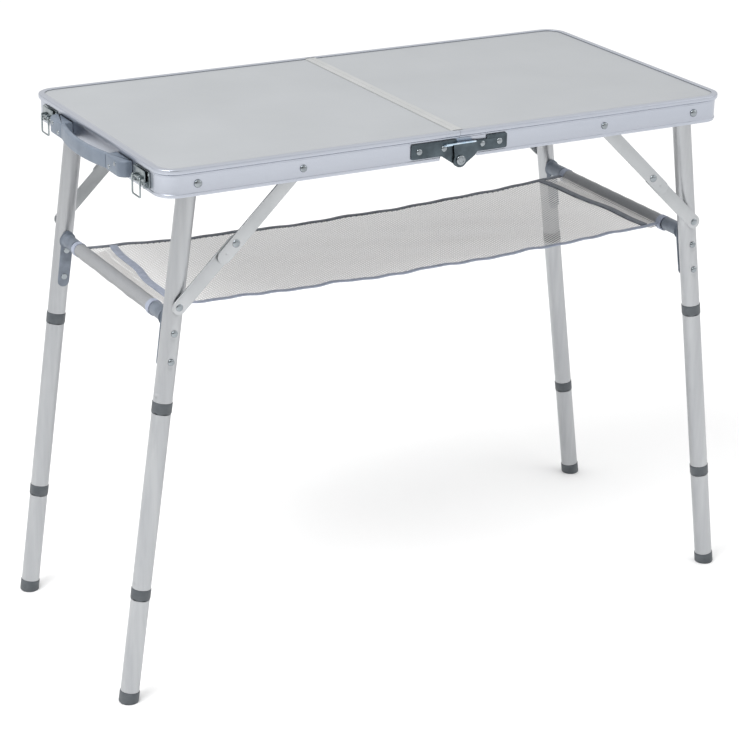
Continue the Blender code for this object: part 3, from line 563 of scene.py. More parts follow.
def collar(count=72):
    """The collar turned about Z, its flange's lower edge raised by a half cosine of 6 lobes."""
    out, soft, low, tip = COLLAR_RADIUS, COLLAR_SOFT, -COLLAR_LENGTH, -COLLAR_LENGTH - PLUG_DOWN
    profile = [(PLUG - CHAMFER, PLUG_UP), (PLUG, PLUG_UP - CHAMFER), (PLUG, 0.0),
               (out - soft, 0.0), (out - 0.0002, -0.0002), (out, -soft), (out, -0.004),
               (out, -0.009), (out, low + soft), (out - 0.0002, low + 0.0002),
               (out - soft, low), (PLUG, low), (PLUG, tip + CHAMFER), (PLUG - CHAMFER, tip),
               (BORE, tip), (BORE, PLUG_UP)]
    points = turned(profile, count)
    a = np.linspace(0, 2 * np.pi, count, endpoint=False)
    points[8:11, :, 2] += SCALLOP_RISE * (0.5 - 0.5 * np.cos(SCALLOPS * a)) ** 2
    return points


def foot(length, count=56):
    """The foot cap turned about Z, with a rounded sole: (R - q + q cos t, -L + q - q sin t)."""
    q, low, t = FOOT_ROUND, -length - SOLE_PAST, np.linspace(0, np.pi / 2, 7)
    sole = np.stack([FOOT_RADIUS - q + q * np.cos(t), low + q - q * np.sin(t)], -1)
    top = [(0.0, FOOT_PLUG), (PLUG, FOOT_PLUG), (PLUG, 0.0), (FOOT_RADIUS - 0.0010, 0.0),
           (FOOT_RADIUS - 0.0002, -0.0003), (FOOT_RADIUS, -0.0011)]
    return turned(np.concatenate([top, sole, [[0.0, low]]]), count)


for side, half, face, end in LEGS:
    where, axes = f"{half}_{end}", leg_axes(side, face)
    for name, distance, body in (("upper", UPPER_END, f"{half}_legs"),
                                 ("lower", MIDDLE_END, f"middle_{where}")):
        ring = placed(collar(), on_leg(side, face * LEG_Y, distance + FIT), *axes)
        piece(f"{name}_ring_{where}", [grid(ring, True)], leg_plastic, body,
              [f"{name}_collar_{where}"])
    cap = placed(foot(LEG_LENGTH - LOWER_END - FIT),
                 on_leg(side, face * LEG_Y, LOWER_END + FIT), *axes)
    cap[..., 2] = np.maximum(cap[..., 2], 0.0)
    piece(f"foot_cap_{where}", [grid(cap)], leg_plastic, f"lower_{where}",
          [f"foot_{where}"])
print("lowest point of a foot, mm:", round(1000 * cap[..., 2].min(), 3))

# %% [markdown]
# The braces are flat bars with round ends, sheared from rolled strip and tumbled until the
# edges are soft. The upper bar runs on past the joint to a small pressed stud, which clicks
# over the lower bar and holds the pair straight. A bar could be a scaled cube with a bevel; as
# a plate from its outline it keeps true half circles at its ends.

# %% Braces
across = PIVOT_X + BRACE_ON_LEG * math.sin(SPLAY) - BRACE_X
down = BRACE_ON_LEG * math.cos(SPLAY)
straight, folded = math.hypot(across, down), BRACE_X - PIVOT_X + BRACE_ON_LEG
UPPER_BAR, LOWER_BAR = (straight + folded) / 2, (straight - folded) / 2
SLOPE = math.atan2(down, across)
LOWER_Y, UPPER_Y, BAR_HALF, BAR_THICK = 0.18995, 0.19405, 0.009, 0.0025
TAIL, STUD_AT = 0.030, 0.018
# Each rivet's head radius, head height and shank length.
RIVETS = {"brace": (0.0047, 0.0025, 0.0060), "joint": (0.0050, 0.0020, 0.0040),
          "on_leg": (0.0047, 0.0014, 0.0030), "pivot": (0.0052, 0.0028, 0.0180),
          "pin": (0.0043, 0.0021, 0.0060), "stud": (0.0021, 0.0007)}
print("bars, mm:", round(1000 * UPPER_BAR, 1), round(1000 * LOWER_BAR, 1),
      "slope", round(math.degrees(SLOPE), 1))


def flat_bar(length, tail):
    """A bar from its pivot at the origin to one at +X: a plate with two half-circle ends."""
    right = arc((length + tail - BAR_HALF, 0), BAR_HALF, -90, 90, 15)
    left = arc((0, 0), BAR_HALF, 90, 270, 15)
    return plate(np.concatenate([right, left]), BAR_THICK, 0.0005)


for side, half, face, end in LEGS:
    where, out = f"{half}_{end}", face * Y_AXIS
    upper_body, lower_body = f"{half}_upper_braces", f"{half}_lower_braces"
    along = np.array([side * math.cos(SLOPE), 0.0, -math.sin(SLOPE)])
    top = np.array([side * BRACE_X, face * UPPER_Y, PIVOT_Z])
    joint, low = top + UPPER_BAR * along, on_leg(side, face * LOWER_Y, BRACE_ON_LEG)
    skirt, on_bar = face * (SKIRT_Y + 0.0001), face * (UPPER_Y + BAR_THICK / 2)
    bar = placed(flat_bar(UPPER_BAR, TAIL), top, along, np.cross(out, along), out)
    piece(f"upper_bar_{where}", [grid(bar)], bar_metal, upper_body,
          [f"upper_brace_{where}"])
    bar = placed(flat_bar(LOWER_BAR, BAR_HALF), low, -along, np.cross(out, -along), out)
    piece(f"lower_bar_{where}", [grid(bar)], bar_metal, lower_body,
          [f"lower_brace_{where}"])

    heads = [dome((side * BRACE_X, skirt, PIVOT_Z), out, *RIVETS["brace"]),
             dome((joint[0], on_bar, joint[2]), out, *RIVETS["joint"])]
    piece(f"brace_rivets_{where}", heads, rivet_metal, upper_body)
    stud = joint + STUD_AT * along
    press = dome((stud[0], on_bar - face * 0.0002, stud[2]), out, *RIVETS["stud"])
    piece(f"brace_bush_{where}", [grid(facing(barrel(0.0055, 0, 0.0058), top, out)), press],
          bar_metal, upper_body)
    heads = [dome((low[0], face * (LOWER_Y + BAR_THICK / 2), low[2]), out, *RIVETS["on_leg"]),
             grid(facing(barrel(0.0048, -0.0052, 0), low, out))]
    piece(f"leg_joint_rivet_{where}", heads, rivet_metal, lower_body)
    heads = [dome((side * PIVOT_X, skirt, PIVOT_Z), out, *RIVETS["pivot"])]
    for distance in PINS:
        place = on_leg(side, face * (LEG_Y + TUBE_RADIUS - 0.0004), distance)
        heads.append(dome(place, out, *RIVETS["pin"]))
    place = (side * PIVOT_X, face * (LEG_Y + TUBE_RADIUS), PIVOT_Z)
    heads.append(grid(facing(barrel(0.0065, -0.0028, 0.0141, 28), place, out)))
    piece(f"leg_rivets_{where}", heads, rivet_metal, f"{half}_legs")

# %% [markdown]
# A steel rod crosses between each pair of legs. Its ends sit in moulded nylon brackets: a
# long tongue that lies on the leg, with a cup that grows out of it on a soft fillet. A boolean
# could join the two and a bevel soften the seam. Here the fillet is part of the cup's turned
# profile, which gives the same look with cleaner faces.

# %% Cross rods and brackets
ROD_RADIUS, ROD_Z, STRAP_THICK = 0.007, TOP_HEIGHT - 0.195, 0.002
ROD_X = PIVOT_X + (PIVOT_Z - ROD_Z) * math.tan(SPLAY)
BRACKET_Y, STRAP = LEG_Y - TUBE_RADIUS - FIT, (0.164, 0.240)
ROD_HALF, ROD_SOFT = BRACKET_Y - STRAP_THICK - 0.0002 - FIT, 0.0005
CUP_RADIUS, CUP_LENGTH, CUP_FILLET, CUP_LIP = 0.0090, 0.0330, 0.0024, 0.0008


def bracket_outline():
    """The tongue's outline, X across and Y up the leg: a half circle on top, a rounder foot."""
    top = arc((0, -0.0085), 0.0085, 0, 180, 15)
    low = arc((0, STRAP[0] - STRAP[1] + 0.0080), 0.0080, 180, 360, 15)
    return np.concatenate([top, low])


def cup():
    """A cup turned about Z: a fillet q (1 - sin t), q (1 - cos t) onto the tongue, a wall, a
    rounded lip, and a bore for the rod."""
    t, q, lip = np.linspace(0, np.pi / 2, 6), CUP_FILLET, CUP_LIP
    fillet = np.stack([CUP_RADIUS + q - q * np.sin(t), q - q * np.cos(t)], -1)
    rim = np.stack([CUP_RADIUS - lip + lip * np.cos(t), CUP_LENGTH - lip + lip * np.sin(t)], -1)
    bore = [(0.0078, CUP_LENGTH), (0.0073, CUP_LENGTH - 0.0005), (0.0073, 0.0004), (0.0, 0.0004),
            (0.0, 0.0)]
    return turned(np.concatenate([[(0.0, 0.0)], fillet, rim, bore]), 40)


for side, half, face, end in LEGS:
    where, (x, out, up) = f"{half}_{end}", leg_axes(side, face)
    y = face * (BRACKET_Y - STRAP_THICK / 2)
    tongue = placed(plate(bracket_outline(), STRAP_THICK, 0.0007), on_leg(side, y, STRAP[0]),
                    x, up, out)
    socket = placed(cup(), (side * ROD_X, face * (BRACKET_Y - STRAP_THICK), ROD_Z), x, up, -out)
    piece(f"bracket_{where}", [grid(tongue), grid(socket)], bracket_plastic, f"{half}_legs",
          [f"rod_bracket_{where}"])
    disc, y = plate(arc((0, 0), 0.0042, 0, 345, 24), 0.0012, 0.0005), face * (BRACKET_Y - 0.0022)
    screws = [grid(placed(disc, on_leg(side, y, pin), x, up, out)) for pin in PINS]
    piece(f"bracket_screws_{where}", screws, rivet_metal, f"{half}_legs")

for side, half in HALVES:
    s = (ROD_HALF - ROD_SOFT) * np.linspace(-1, 1, 9)
    ends = np.concatenate([[[0, -ROD_HALF], [ROD_RADIUS - ROD_SOFT, -ROD_HALF]],
                           np.stack([0 * s + ROD_RADIUS, s], -1),
                           [[ROD_RADIUS - ROD_SOFT, ROD_HALF], [0, ROD_HALF]]])
    rod = facing(turned(ends, 28), (side * ROD_X, 0, ROD_Z), -Y_AXIS)
    piece(f"steel_rod_{half}", [grid(rod)], rod_metal, f"{half}_legs",
          [f"cross_rod_{half}"])
print("rod at x, z, mm:", round(1000 * ROD_X, 1), round(1000 * ROD_Z, 1),
      "half", round(1000 * ROD_HALF, 1))

# %% [markdown]
# The centre hinge is pressed steel: two plates a side, riveted to the skirt. The left one lies
# flat. The right one is jogged outward so that it passes over it, and has a flange bent out
# that stops the top flat. A lattice or a proportional edit could bend a plate. Moving its y by
# a smooth step along x, 3u^2 - 2u^3, is the same bend with a known place and depth.

# %% Centre hinge
FOLD_DEPTH, PLATE_THICK, INNER_Y = 0.036, 0.0016, SKIRT_Y + FIT
OUTER_Y = TOP_WIDTH / 2 + FIT
TAB_RADIUS, PLATE_END, PLATE_TOP, PLATE_LOW = 0.0095, 0.068, -0.0098, -0.029
JOG_START, JOG_LENGTH, BEND = 0.0195, 0.0075, 0.0026
FLANGE_OUT, FLANGE_FROM, FLANGE_TO, FLANGE_Z = 0.0050, -0.0225, 0.0198, TOP_HEIGHT - 0.0129


def left_plate():
    """The flat plate: a strip along the skirt that narrows to a round tab at the pivot."""
    tab = arc((0, -FOLD_DEPTH), TAB_RADIUS, -150, 30, 17)
    corners = [(-0.004, PLATE_TOP), (-PLATE_END, PLATE_TOP), (-PLATE_END, PLATE_LOW),
               (-0.027, PLATE_LOW)]
    return np.concatenate([tab, eased(corners, [0.001, 0.003, 0.003, 0.001])])


def right_plate():
    """The jogged plate: the same strip, with a shoulder under the stop flange."""
    tab = arc((0, -FOLD_DEPTH), TAB_RADIUS, 150, 330, 17)
    corners = [(0.027, PLATE_LOW), (PLATE_END, PLATE_LOW), (PLATE_END, PLATE_TOP),
               (0.039, PLATE_TOP), (0.039, -0.0141), (-0.012, -0.0141)]
    return np.concatenate([tab, eased(corners, [0.001, 0.003, 0.003, 0.001, 0.0005, 0.002])])


def stop_flange():
    """The flange's section in (y, z): a quarter bend out of the plate, then flat."""
    t, r = np.linspace(0, np.pi / 2, 6), BEND
    low = np.stack([r - r * np.cos(t), r * np.sin(t) - r - PLATE_THICK], -1)
    r += PLATE_THICK
    top = np.stack([BEND - r * np.cos(t), r * np.sin(t) - r], -1)
    return np.concatenate([low, [[FLANGE_OUT, -PLATE_THICK], [FLANGE_OUT, 0.0]], top[::-1]])


def divided(outline, longest):
    """The outline with its long edges cut into equal parts, so that the jog has points to bend."""
    line = distinct(outline)
    ahead = np.roll(line, -1, 0)
    counts = np.ceil(np.linalg.norm(ahead - line, axis=1) / longest).astype(int)
    which = np.repeat(np.arange(len(line)), counts)
    first = np.repeat(np.cumsum(counts) - counts, counts)
    share = (np.arange(counts.sum()) - first) / counts[which]
    return line[which] + (ahead - line)[which] * share[:, None]


for face, end in ENDS:
    out = face * Y_AXIS
    origin = (0, face * (INNER_Y + PLATE_THICK / 2), TOP_HEIGHT)
    flat = facing(plate(left_plate(), PLATE_THICK, 0.0004), origin, out)
    piece(f"hinge_left_{end}", [grid(flat)], hinge_metal, "left_top",
          [f"hinge_plate_left_{end}"])
    jogged = facing(plate(divided(right_plate(), 0.0025), PLATE_THICK, 0.0004), origin, out)
    u = np.clip((jogged[..., 0] - JOG_START) / JOG_LENGTH, 0, 1)
    jogged[..., 1] += face * (OUTER_Y - INNER_Y) * (1 - u * u * (3 - 2 * u))
    piece(f"hinge_right_{end}", [grid(jogged)], hinge_metal, "right_top",
          [f"hinge_plate_right_{end}"])
    path = np.array([[x, face * OUTER_Y, FLANGE_Z] for x in (FLANGE_FROM, FLANGE_TO)])
    bent = carried(path, out, Z_AXIS, stop_flange())
    # The flange's upward face gets its own brighter zinc: painted light on the right plate's
    # steel.
    piece(f"hinge_stop_{end}", [grid(bent)], zinc, "right_top")
    for half, places in (("left", (-0.022, -0.057)), ("right", (0.032, 0.057))):
        heads = [dome((x, face * (INNER_Y + PLATE_THICK), TOP_HEIGHT - 0.0195), out,
                      0.0042, 0.0021) for x in places]
        piece(f"hinge_rivets_{half}_{end}", heads, rivet_metal, f"{half}_top")
    t = np.linspace(0, np.pi / 2, 7)
    head_y = OUTER_Y + PLATE_THICK + FIT
    depth = -(head_y - INNER_Y + FIT)
    head = np.stack([0.0036 + 0.0026 * np.sin(t), 0.0013 + 0.0011 * np.cos(t)], -1)
    shank = [[0.0062, 0], [0.0030, 0], [0.0030, depth], [0.0055, depth],
             [0.0055, depth - 0.0012], [0.0040, depth - 0.0020], [0, depth - 0.0020]]
    pin = turned(np.concatenate([[[0, 0.0018], [0.0030, 0.0018]], head, shank]), 36)
    pin = facing(pin, (0, face * head_y, TOP_HEIGHT - FOLD_DEPTH), out)
    piece(f"hinge_rivet_{end}", [grid(pin)], rivet_metal, "left_top",
          [f"hinge_pin_{end}"])
print("hinge y, mm:", round(1000 * INNER_Y, 1), "to", round(1000 * head_y + 2.4, 1))

# %% [markdown]
# The handle is moulded polypropylene: two end blocks screwed to the skirt, and a grip that bows
# outward between them. A moulding needs round edges to leave its mould. Subdivided boxes would
# give them too, but with edges of no known radius, so the blocks are plates with a wide edge
# radius and the grip is a rounded section carried along a parabola.

# %% Carry handle
END_X, HANDLE_Z, HANDLE_HEIGHT = SKIRT_X + FIT, TOP_HEIGHT - 0.0198, 0.0204
BLOCK_OUT, BLOCK_IN_Y, BLOCK_OUT_Y = 0.016, 0.072, 0.116
GRIP_THICK, GRIP_BOW = 0.007, 0.009
for face, end in ENDS:
    out = END_X + BLOCK_OUT
    outline = eased([(END_X, BLOCK_OUT_Y), (END_X + 0.0088, BLOCK_OUT_Y), (out, 0.109),
                     (out, BLOCK_IN_Y), (END_X, BLOCK_IN_Y)],
                    [0.0006, 0.003, 0.004, 0.002, 0.0006], 6)
    block = placed(plate(outline, HANDLE_HEIGHT, 0.0020, 6), (0, 0, HANDLE_Z),
                   -X_AXIS, face * Y_AXIS, Z_AXIS)
    piece(f"handle_end_{end}", [grid(block)], handle_plastic, "left_top",
          [f"handle_block_{end}"])
    heads = [dome((-END_X - 0.0158, face * y, HANDLE_Z + z), -X_AXIS, 0.0030, 0.0012)
             for y, z in ((0.100, 0.0040), (0.082, -0.0040))]
    piece(f"handle_screws_{end}", heads, rivet_metal, "left_top")

span = BLOCK_IN_Y - FIT
y = np.linspace(-span, span, 49)
bow = END_X + BLOCK_OUT - GRIP_THICK + GRIP_BOW * (1 - (y / span) ** 2)
path = np.stack([-bow - GRIP_THICK / 2, y, 0 * y + HANDLE_Z], -1)
across = np.stack([np.ones_like(y), np.gradient(bow, y), 0 * y], -1)
across /= np.linalg.norm(across, axis=1, keepdims=True)
w, h = GRIP_THICK / 2, HANDLE_HEIGHT / 2 - 0.0005
ring = distinct(eased([(-w, -h), (w, -h), (w, h), (-w, h)], 0.0030, 6))
grip = carried(path, across, Z_AXIS, ring)
grip[..., 1] = np.clip(grip[..., 1], -span, span)
piece("grip", [grid(grip)], handle_plastic, "left_top", ["handle_grip"])
print("grip stands out, mm:", round(1000 * (bow.max() + GRIP_THICK - END_X), 1))

# %% [markdown]
# Two draw latches hold the table shut. Each is bent from thin steel and plated: a base with two
# ears, a lever that turns on a pin between them, and a wire loop that the lever pulls tight
# over a keeper on the other end. A bevelled curve could make the wire. As a circle carried
# round a rounded rectangle it is a mesh at once, like every other piece.

# %% Latches and keepers
LATCH_Y, LATCH_HALF = 0.146, 0.022
LATCH_TOP, LATCH_LOW = TOP_HEIGHT - 0.0095, TOP_HEIGHT - 0.0300
PIN_X, PIN_Z = -SKIRT_X - 0.0045, TOP_HEIGHT - 0.0262
LOOP_X, LOOP_Z, LOOP_HALF, LOOP_LONG = -SKIRT_X - 0.0086, TOP_HEIGHT - 0.0192, 0.0115, 0.0235
WIRE_RADIUS, LUG_RADIUS, WING = 0.0011, 0.0022, LATCH_HALF - 0.0049


def wire_ring(outline, radius, count=12):
    """A closed wire: a circle of that radius carried round a closed outline in the YZ plane."""
    line = distinct(outline)
    ahead = np.roll(line, -1, 0) - np.roll(line, 1, 0)
    ahead /= np.linalg.norm(ahead, axis=1, keepdims=True)
    path = np.concatenate([np.zeros((len(line), 1)), line], 1)
    sideways = np.stack([0 * ahead[:, 0], -ahead[:, 1], ahead[:, 0]], -1)
    circle = radius * arc((0, 0), 1, 0, 360 - 360 / count, count)
    return carried(path, sideways, X_AXIS, circle)


def slab(low, high, edge=0.0003):
    """A plate that fills a box, its thin side found from the box, with eased edges."""
    low, high = np.array(low, float), np.array(high, float)
    size, middle, axes = high - low, (low + high) / 2, np.eye(3)
    thin = int(np.argmin(size))
    u, v = [k for k in range(3) if k != thin]
    corners = np.array([(-1, -1), (1, -1), (1, 1), (-1, 1)]) * size[[u, v]] / 2
    sheet = plate(eased(corners, min(size[u], size[v]) * 0.12), size[thin], edge)
    return grid(placed(sheet, middle, axes[u], axes[v], axes[thin]))


for face, end in ENDS:
    y, x = face * LATCH_Y, -END_X
    base = slab((x - 0.0012, y - LATCH_HALF, LATCH_LOW), (x, y + LATCH_HALF, LATCH_TOP))
    ears = [slab((x - 0.0072, e - 0.0006, LATCH_LOW), (x - 0.0004, e + 0.0006, PIN_Z + 0.0036))
            for e in (y - LATCH_HALF + 0.004, y + LATCH_HALF - 0.004)]
    screws = [dome((x - 0.0011, e, LATCH_TOP - 0.004), -X_AXIS, 0.0020, 0.0009)
              for e in (y - LATCH_HALF + 0.0022, y + LATCH_HALF - 0.0022)]
    piece(f"latch_plate_{end}", [base, *ears, *screws], latch_metal, "left_top",
          [f"latch_base_{end}"])

    lever = [slab((PIN_X - 0.0006, y - WING, PIN_Z - 0.0004),
                  (PIN_X + 0.0006, y + WING, LATCH_TOP - 0.0003))]
    for radius, long in ((0.0022, WING - 0.0004), (0.0015, LATCH_HALF - 0.0025)):
        lever.append(grid(facing(barrel(radius, -long, long, 20), (PIN_X, y, PIN_Z), -Y_AXIS)))
    for e in (y - 0.008, y + 0.008):
        lug = np.concatenate([arc((LOOP_X, LOOP_Z), LUG_RADIUS, 90, 270, 9),
                              [[PIN_X, LOOP_Z - LUG_RADIUS], [PIN_X, LOOP_Z + LUG_RADIUS]]])
        lever.append(grid(facing(plate(lug, 0.0028, 0.0003), (0, e, 0), -Y_AXIS)))
    piece(f"lever_{end}", lever, latch_metal, f"latch_lever_{end}",
          [f"latch_lever_{end}"])

    outline = eased([(-LOOP_HALF, 0), (LOOP_HALF, 0), (LOOP_HALF, -LOOP_LONG),
                     (-LOOP_HALF, -LOOP_LONG)], 0.0026, 7)
    loop = wire_ring(outline, WIRE_RADIUS) + [LOOP_X, y, LOOP_Z]
    piece(f"loop_{end}", [grid(loop, True)], latch_metal, f"latch_loop_{end}",
          [f"latch_loop_{end}"])

    hook = eased([(0, -0.0200), (0.0012, -0.0200), (0.0012, -0.0286), (0.0045, -0.0286),
                  (0.0045, -0.0245), (0.0057, -0.0245), (0.0057, -0.0298), (0, -0.0298)],
                 [0.0004, 0.0004, 0.0004, 0.0004, 0.0003, 0.0003, 0.0010, 0.0004])
    keeper = facing(plate(distinct(hook), 0.024, 0.0004), (END_X, y, TOP_HEIGHT), Y_AXIS)
    piece(f"keeper_hook_{end}", [grid(keeper)], latch_metal, "right_top",
          [f"keeper_{end}"])
print("latch pin x, z, mm:", round(1000 * PIN_X, 1), round(1000 * PIN_Z, 1))

# %% [markdown]
# The shelf is a knitted polyester net with woven tape sewn along its edges. A net this open is
# thread and air. Real threads as geometry would need millions of faces, so the thread is drawn
# by the material, which leaves the rest see-through, and the folds are in the surface.

# %% Shelf materials
# A real net of this kind has holes of about 2 mm and its tape a rib each 0.7 mm, which are too
# fine to show. Both are drawn twice as coarse.
NET_PITCH, TAPE_RIB = 0.0042, 0.0014


def repeating(material, axis, pitch, operation="COSINE"):
    """A wave on the piece's own UV map: cos or sin of 2 pi (uv . axis) / pitch."""
    place = add(material, "ShaderNodeUVMap", {"uv_map": "along"})
    axis = [2 * math.pi / pitch * part for part in axis]
    dot = add(material, "ShaderNodeVectorMath", {"operation": "DOT_PRODUCT", 1: axis},
              {0: place.outputs["UV"]})
    wave = add(material, "ShaderNodeMath", {"operation": operation}, {0: dot.outputs["Value"]})
    return wave.outputs["Value"]


def net_material(name, colour, pitch, level):
    """Knitted net: three cosines 60 degrees apart are summed, and where the sum is over level
    there is a hole. A higher level leaves smaller holes."""
    made, shader = new_material(name, colour, 0.72, 0.0, Specular_IOR_Level=0.25)
    total = None
    for turn in np.radians([0, 60, 120]):
        wave = repeating(made, (math.cos(turn), math.sin(turn), 0), pitch)
        total = wave if total is None else add(
            made, "ShaderNodeMath", {"operation": "ADD"}, {0: total, 1: wave}).outputs["Value"]
    soft = {"From Min": level - 0.35, "From Max": level + 0.35, "To Min": 1.0, "To Max": 0.0}
    thread = add(made, "ShaderNodeMapRange", soft, {"Value": total}).outputs["Result"]
    wire(made, thread, shader.inputs["Alpha"])
    shade = ramp(made, total, [(0.0, colour), (0.8, "#A6A6A7")])
    wire(made, shade.outputs["Color"], shader.inputs["Base Color"])
    raised = add(made, "ShaderNodeBump", {"Strength": 0.5, "Distance": 0.0004},
                 {"Height": thread})
    wire(made, raised.outputs["Normal"], shader.inputs["Normal"])
    return made


def tape_material(name, dark, light):
    """Woven polyester tape: fine ribs across its length, with a slow unevenness from wear."""
    made, shader = new_material(name, light, 0.78, 0.0, Sheen_Weight=0.2, Specular_IOR_Level=0.25)
    height = spread(made, repeating(made, (0, 1, 0), TAPE_RIB, "SINE"), 0.4, 1.0)
    raised = add(made, "ShaderNodeBump", {"Strength": 0.6, "Distance": 0.0003},
                 {"Height": height})
    wire(made, raised.outputs["Normal"], shader.inputs["Normal"])
    cloud = ramp(made, grain(made, 7, detail=3.0), [(0.3, dark), (0.7, light)])
    wire(made, cloud.outputs["Color"], shader.inputs["Base Color"])
    return made


# One layer of polyester net: light grey thread, more hole than thread.
net = net_material("polyester_net_knitted", "#DAD8D6", NET_PITCH, 0.7)
# Two layers over each other, on the sleeves: nearly closed. Its darker grey is painted shade on
# the round sleeve.
net_double_painted_shade = net_material("polyester_net_double", "#9A9C9F", 0.7 * NET_PITCH, 1.7)
# Woven polyester tape, one tape drawn twice: a lit copy, and a darker copy that is painted shade,
# for the rear edge and the right seam.
tape_blue = tape_material("polyester_tape_blue_grey", "#8F96A6", "#A2A9BA")
tape_painted_shade = tape_material("polyester_tape_dark", "#5E636B", "#757A83")
print("net pitch, mm:", NET_PITCH * 1000)

# %% [markdown]
# Cloth between two rods hangs in a shallow curve, z = -h (1 - (x / a)^2), and its long edges,
# which carry less load, ripple. A cloth simulation would find such a shape too, but it is slow
# and changes with the version, while two formulas, one for the height and one for the edges,
# give the same cloth each time. It is made in three lengths that meet exactly: legs to top,
# top to top, and top to legs.

# %% Shelf surface
SPAN, DEPTH, SAG = ROD_X - 0.0080, 0.125, 0.011
# Each length's bodies, where it starts and stops, and where its bend starts and stops.
LENGTHS = {"left": (("left_legs", "left_top"), (-SPAN, -0.25), (-SPAN, -0.26)),
           "middle": (("left_top", "right_top"), (-0.25, 0.25), (-0.2, 0.2)),
           "right": (("right_top", "right_legs"), (0.25, SPAN), (0.26, SPAN))}
# The rear edge tape takes the darker copy of the tape: painted shade.
EDGE_TAPES = ((-1, "front", tape_blue, 0.0062), (1, "rear", tape_painted_shade, 0.0078))


def hang(x, v):
    """Height of the cloth at x and at v from -1 (front edge) to 1 (rear edge): the sag, plus
    ripples that fade over 30 mm from each long edge, plus soft creases toward the corners."""
    bow = 1 - (x / SPAN) ** 2
    front, rear = np.exp(-(1 + v) * DEPTH / 0.030), np.exp(-(1 - v) * DEPTH / 0.024)
    ripple = 0.0008 * np.sin(x * 47 + 0.6) + 0.0005 * np.sin(x * 151 + 2.1)
    ripple = ripple + 0.0004 * np.sin(x * 89)
    other = 0.0007 * np.sin(x * 39 + 1.3) + 0.0004 * np.sin(x * 117)
    crease = 0.0006 * np.sin(34 * x + 9 * v) * np.cos(2.2 * v)
    ends = np.clip(bow * 3.5, 0, 1)
    return ROD_Z - SAG * bow + ends * (ripple * front + other * rear + crease)


def edge(x):
    """How far the long edges run from the middle line: drawn in a little between the rods."""
    bow = 1 - (x / SPAN) ** 2
    return DEPTH - 0.0045 - 0.0030 * bow + 0.0006 * np.sin(x * 63) * bow


def cloth(x, v, lift=0.0):
    """Points of the cloth for whole arrays of x and v."""
    return np.stack([x, v * edge(x), hang(x, v) + lift], -1)


def open_sheet(points):
    """Quads and UVs of a cloth that isn't closed, its UV each point's flat place in metres."""
    rows, columns = points.shape[:2]
    i, j = np.meshgrid(np.arange(rows - 1), np.arange(columns - 1), indexing="ij")
    faces = np.stack([i, i + 1, i + 1, i], -1) * columns + np.stack([j, j, j + 1, j + 1], -1)
    faces = faces.reshape(-1, 4)
    flat = points.reshape(-1, 3)
    return flat, faces.tolist(), flat[faces.ravel()][:, :2]


def cloth_piece(name, grids, material, part, replaces=()):
    """A piece of the shelf, made on its length's first body, then freed from it with its place
    baked into its points.
    """
    bodies, _, (start, stop) = LENGTHS[part]
    made = piece(name, grids, material, bodies[0], replaces, 60)
    made.parent = None
    del made["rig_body"]
    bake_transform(made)
    return made


def tape_section(width):
    """A tape folded over an edge: a rounded rectangle 2 mm thick, (across, up)."""
    w = width / 2
    return distinct(eased([(-w, -0.001), (w, -0.001), (w, 0.001), (-w, 0.001)], 0.0009, 4))


panels = {}
for part, (_, (low, high), _) in LENGTHS.items():
    steps = int((high - low) / 0.0045) + 1
    x, v = np.meshgrid(np.linspace(low, high, steps), np.linspace(-1, 1, 61), indexing="ij")
    stands_for = ["mesh_shelf"] if part == "middle" else []
    panel = cloth_piece(f"net_{part}", [open_sheet(cloth(x, v))], net, part, stands_for)
    tapes = []
    for way, end, tape, width in EDGE_TAPES:
        line = cloth(x[:, 0], 0 * x[:, 0] + way)
        band = grid(carried(line, Y_AXIS, Z_AXIS, tape_section(width)))
        tapes.append(cloth_piece(f"edge_tape_{part}_{end}", [band], tape, part))
    panels[part] = panel, high - low, tapes
print("cloth, mm:", round(2000 * SPAN), "by", round(2000 * DEPTH - 9), "in", len(panels))

# %% [markdown]
# Each end of the net is folded round its rod and sewn back to itself under a tape. So the
# sleeve is two layers thick and a little loose, the seam lies a few centimetres in, and the
# edge tape runs on round the mouth of the sleeve. A tube with a Solidify modifier would be a
# start, but it would fit the rod like a pipe. Here its radius grows on the side where the
# cloth leaves the rod, which makes it sit like cloth.

# %% Sleeves and seam tapes
SLEEVE_RADIUS, SLEEVE_LOOSE, SLEEVE_HALF, MOUTH_HALF = 0.0082, 0.0015, 0.1185, 0.1245


def sleeve(y, outside, inside):
    """Both walls of a loose tube at stations y, as shares of r + loose (1 + cos(a - a0)) / 2,
    with slow ripples along it."""
    a = np.linspace(0, 2 * np.pi, 40, endpoint=False)
    hangs = (0.5 + 0.5 * np.cos(a + 2.1))[None] * (1 + 0.25 * np.sin(y * 90)[:, None])
    radius = SLEEVE_RADIUS + SLEEVE_LOOSE * hangs
    radius += 0.00015 * np.sin(5 * a)[None] * np.sin(y * 210)[:, None]
    wall = np.stack([radius * np.cos(a), 0 * radius + y[:, None], radius * np.sin(a)], -1)
    return np.concatenate([wall * [outside, 1, outside], (wall * [inside, 1, inside])[::-1]])


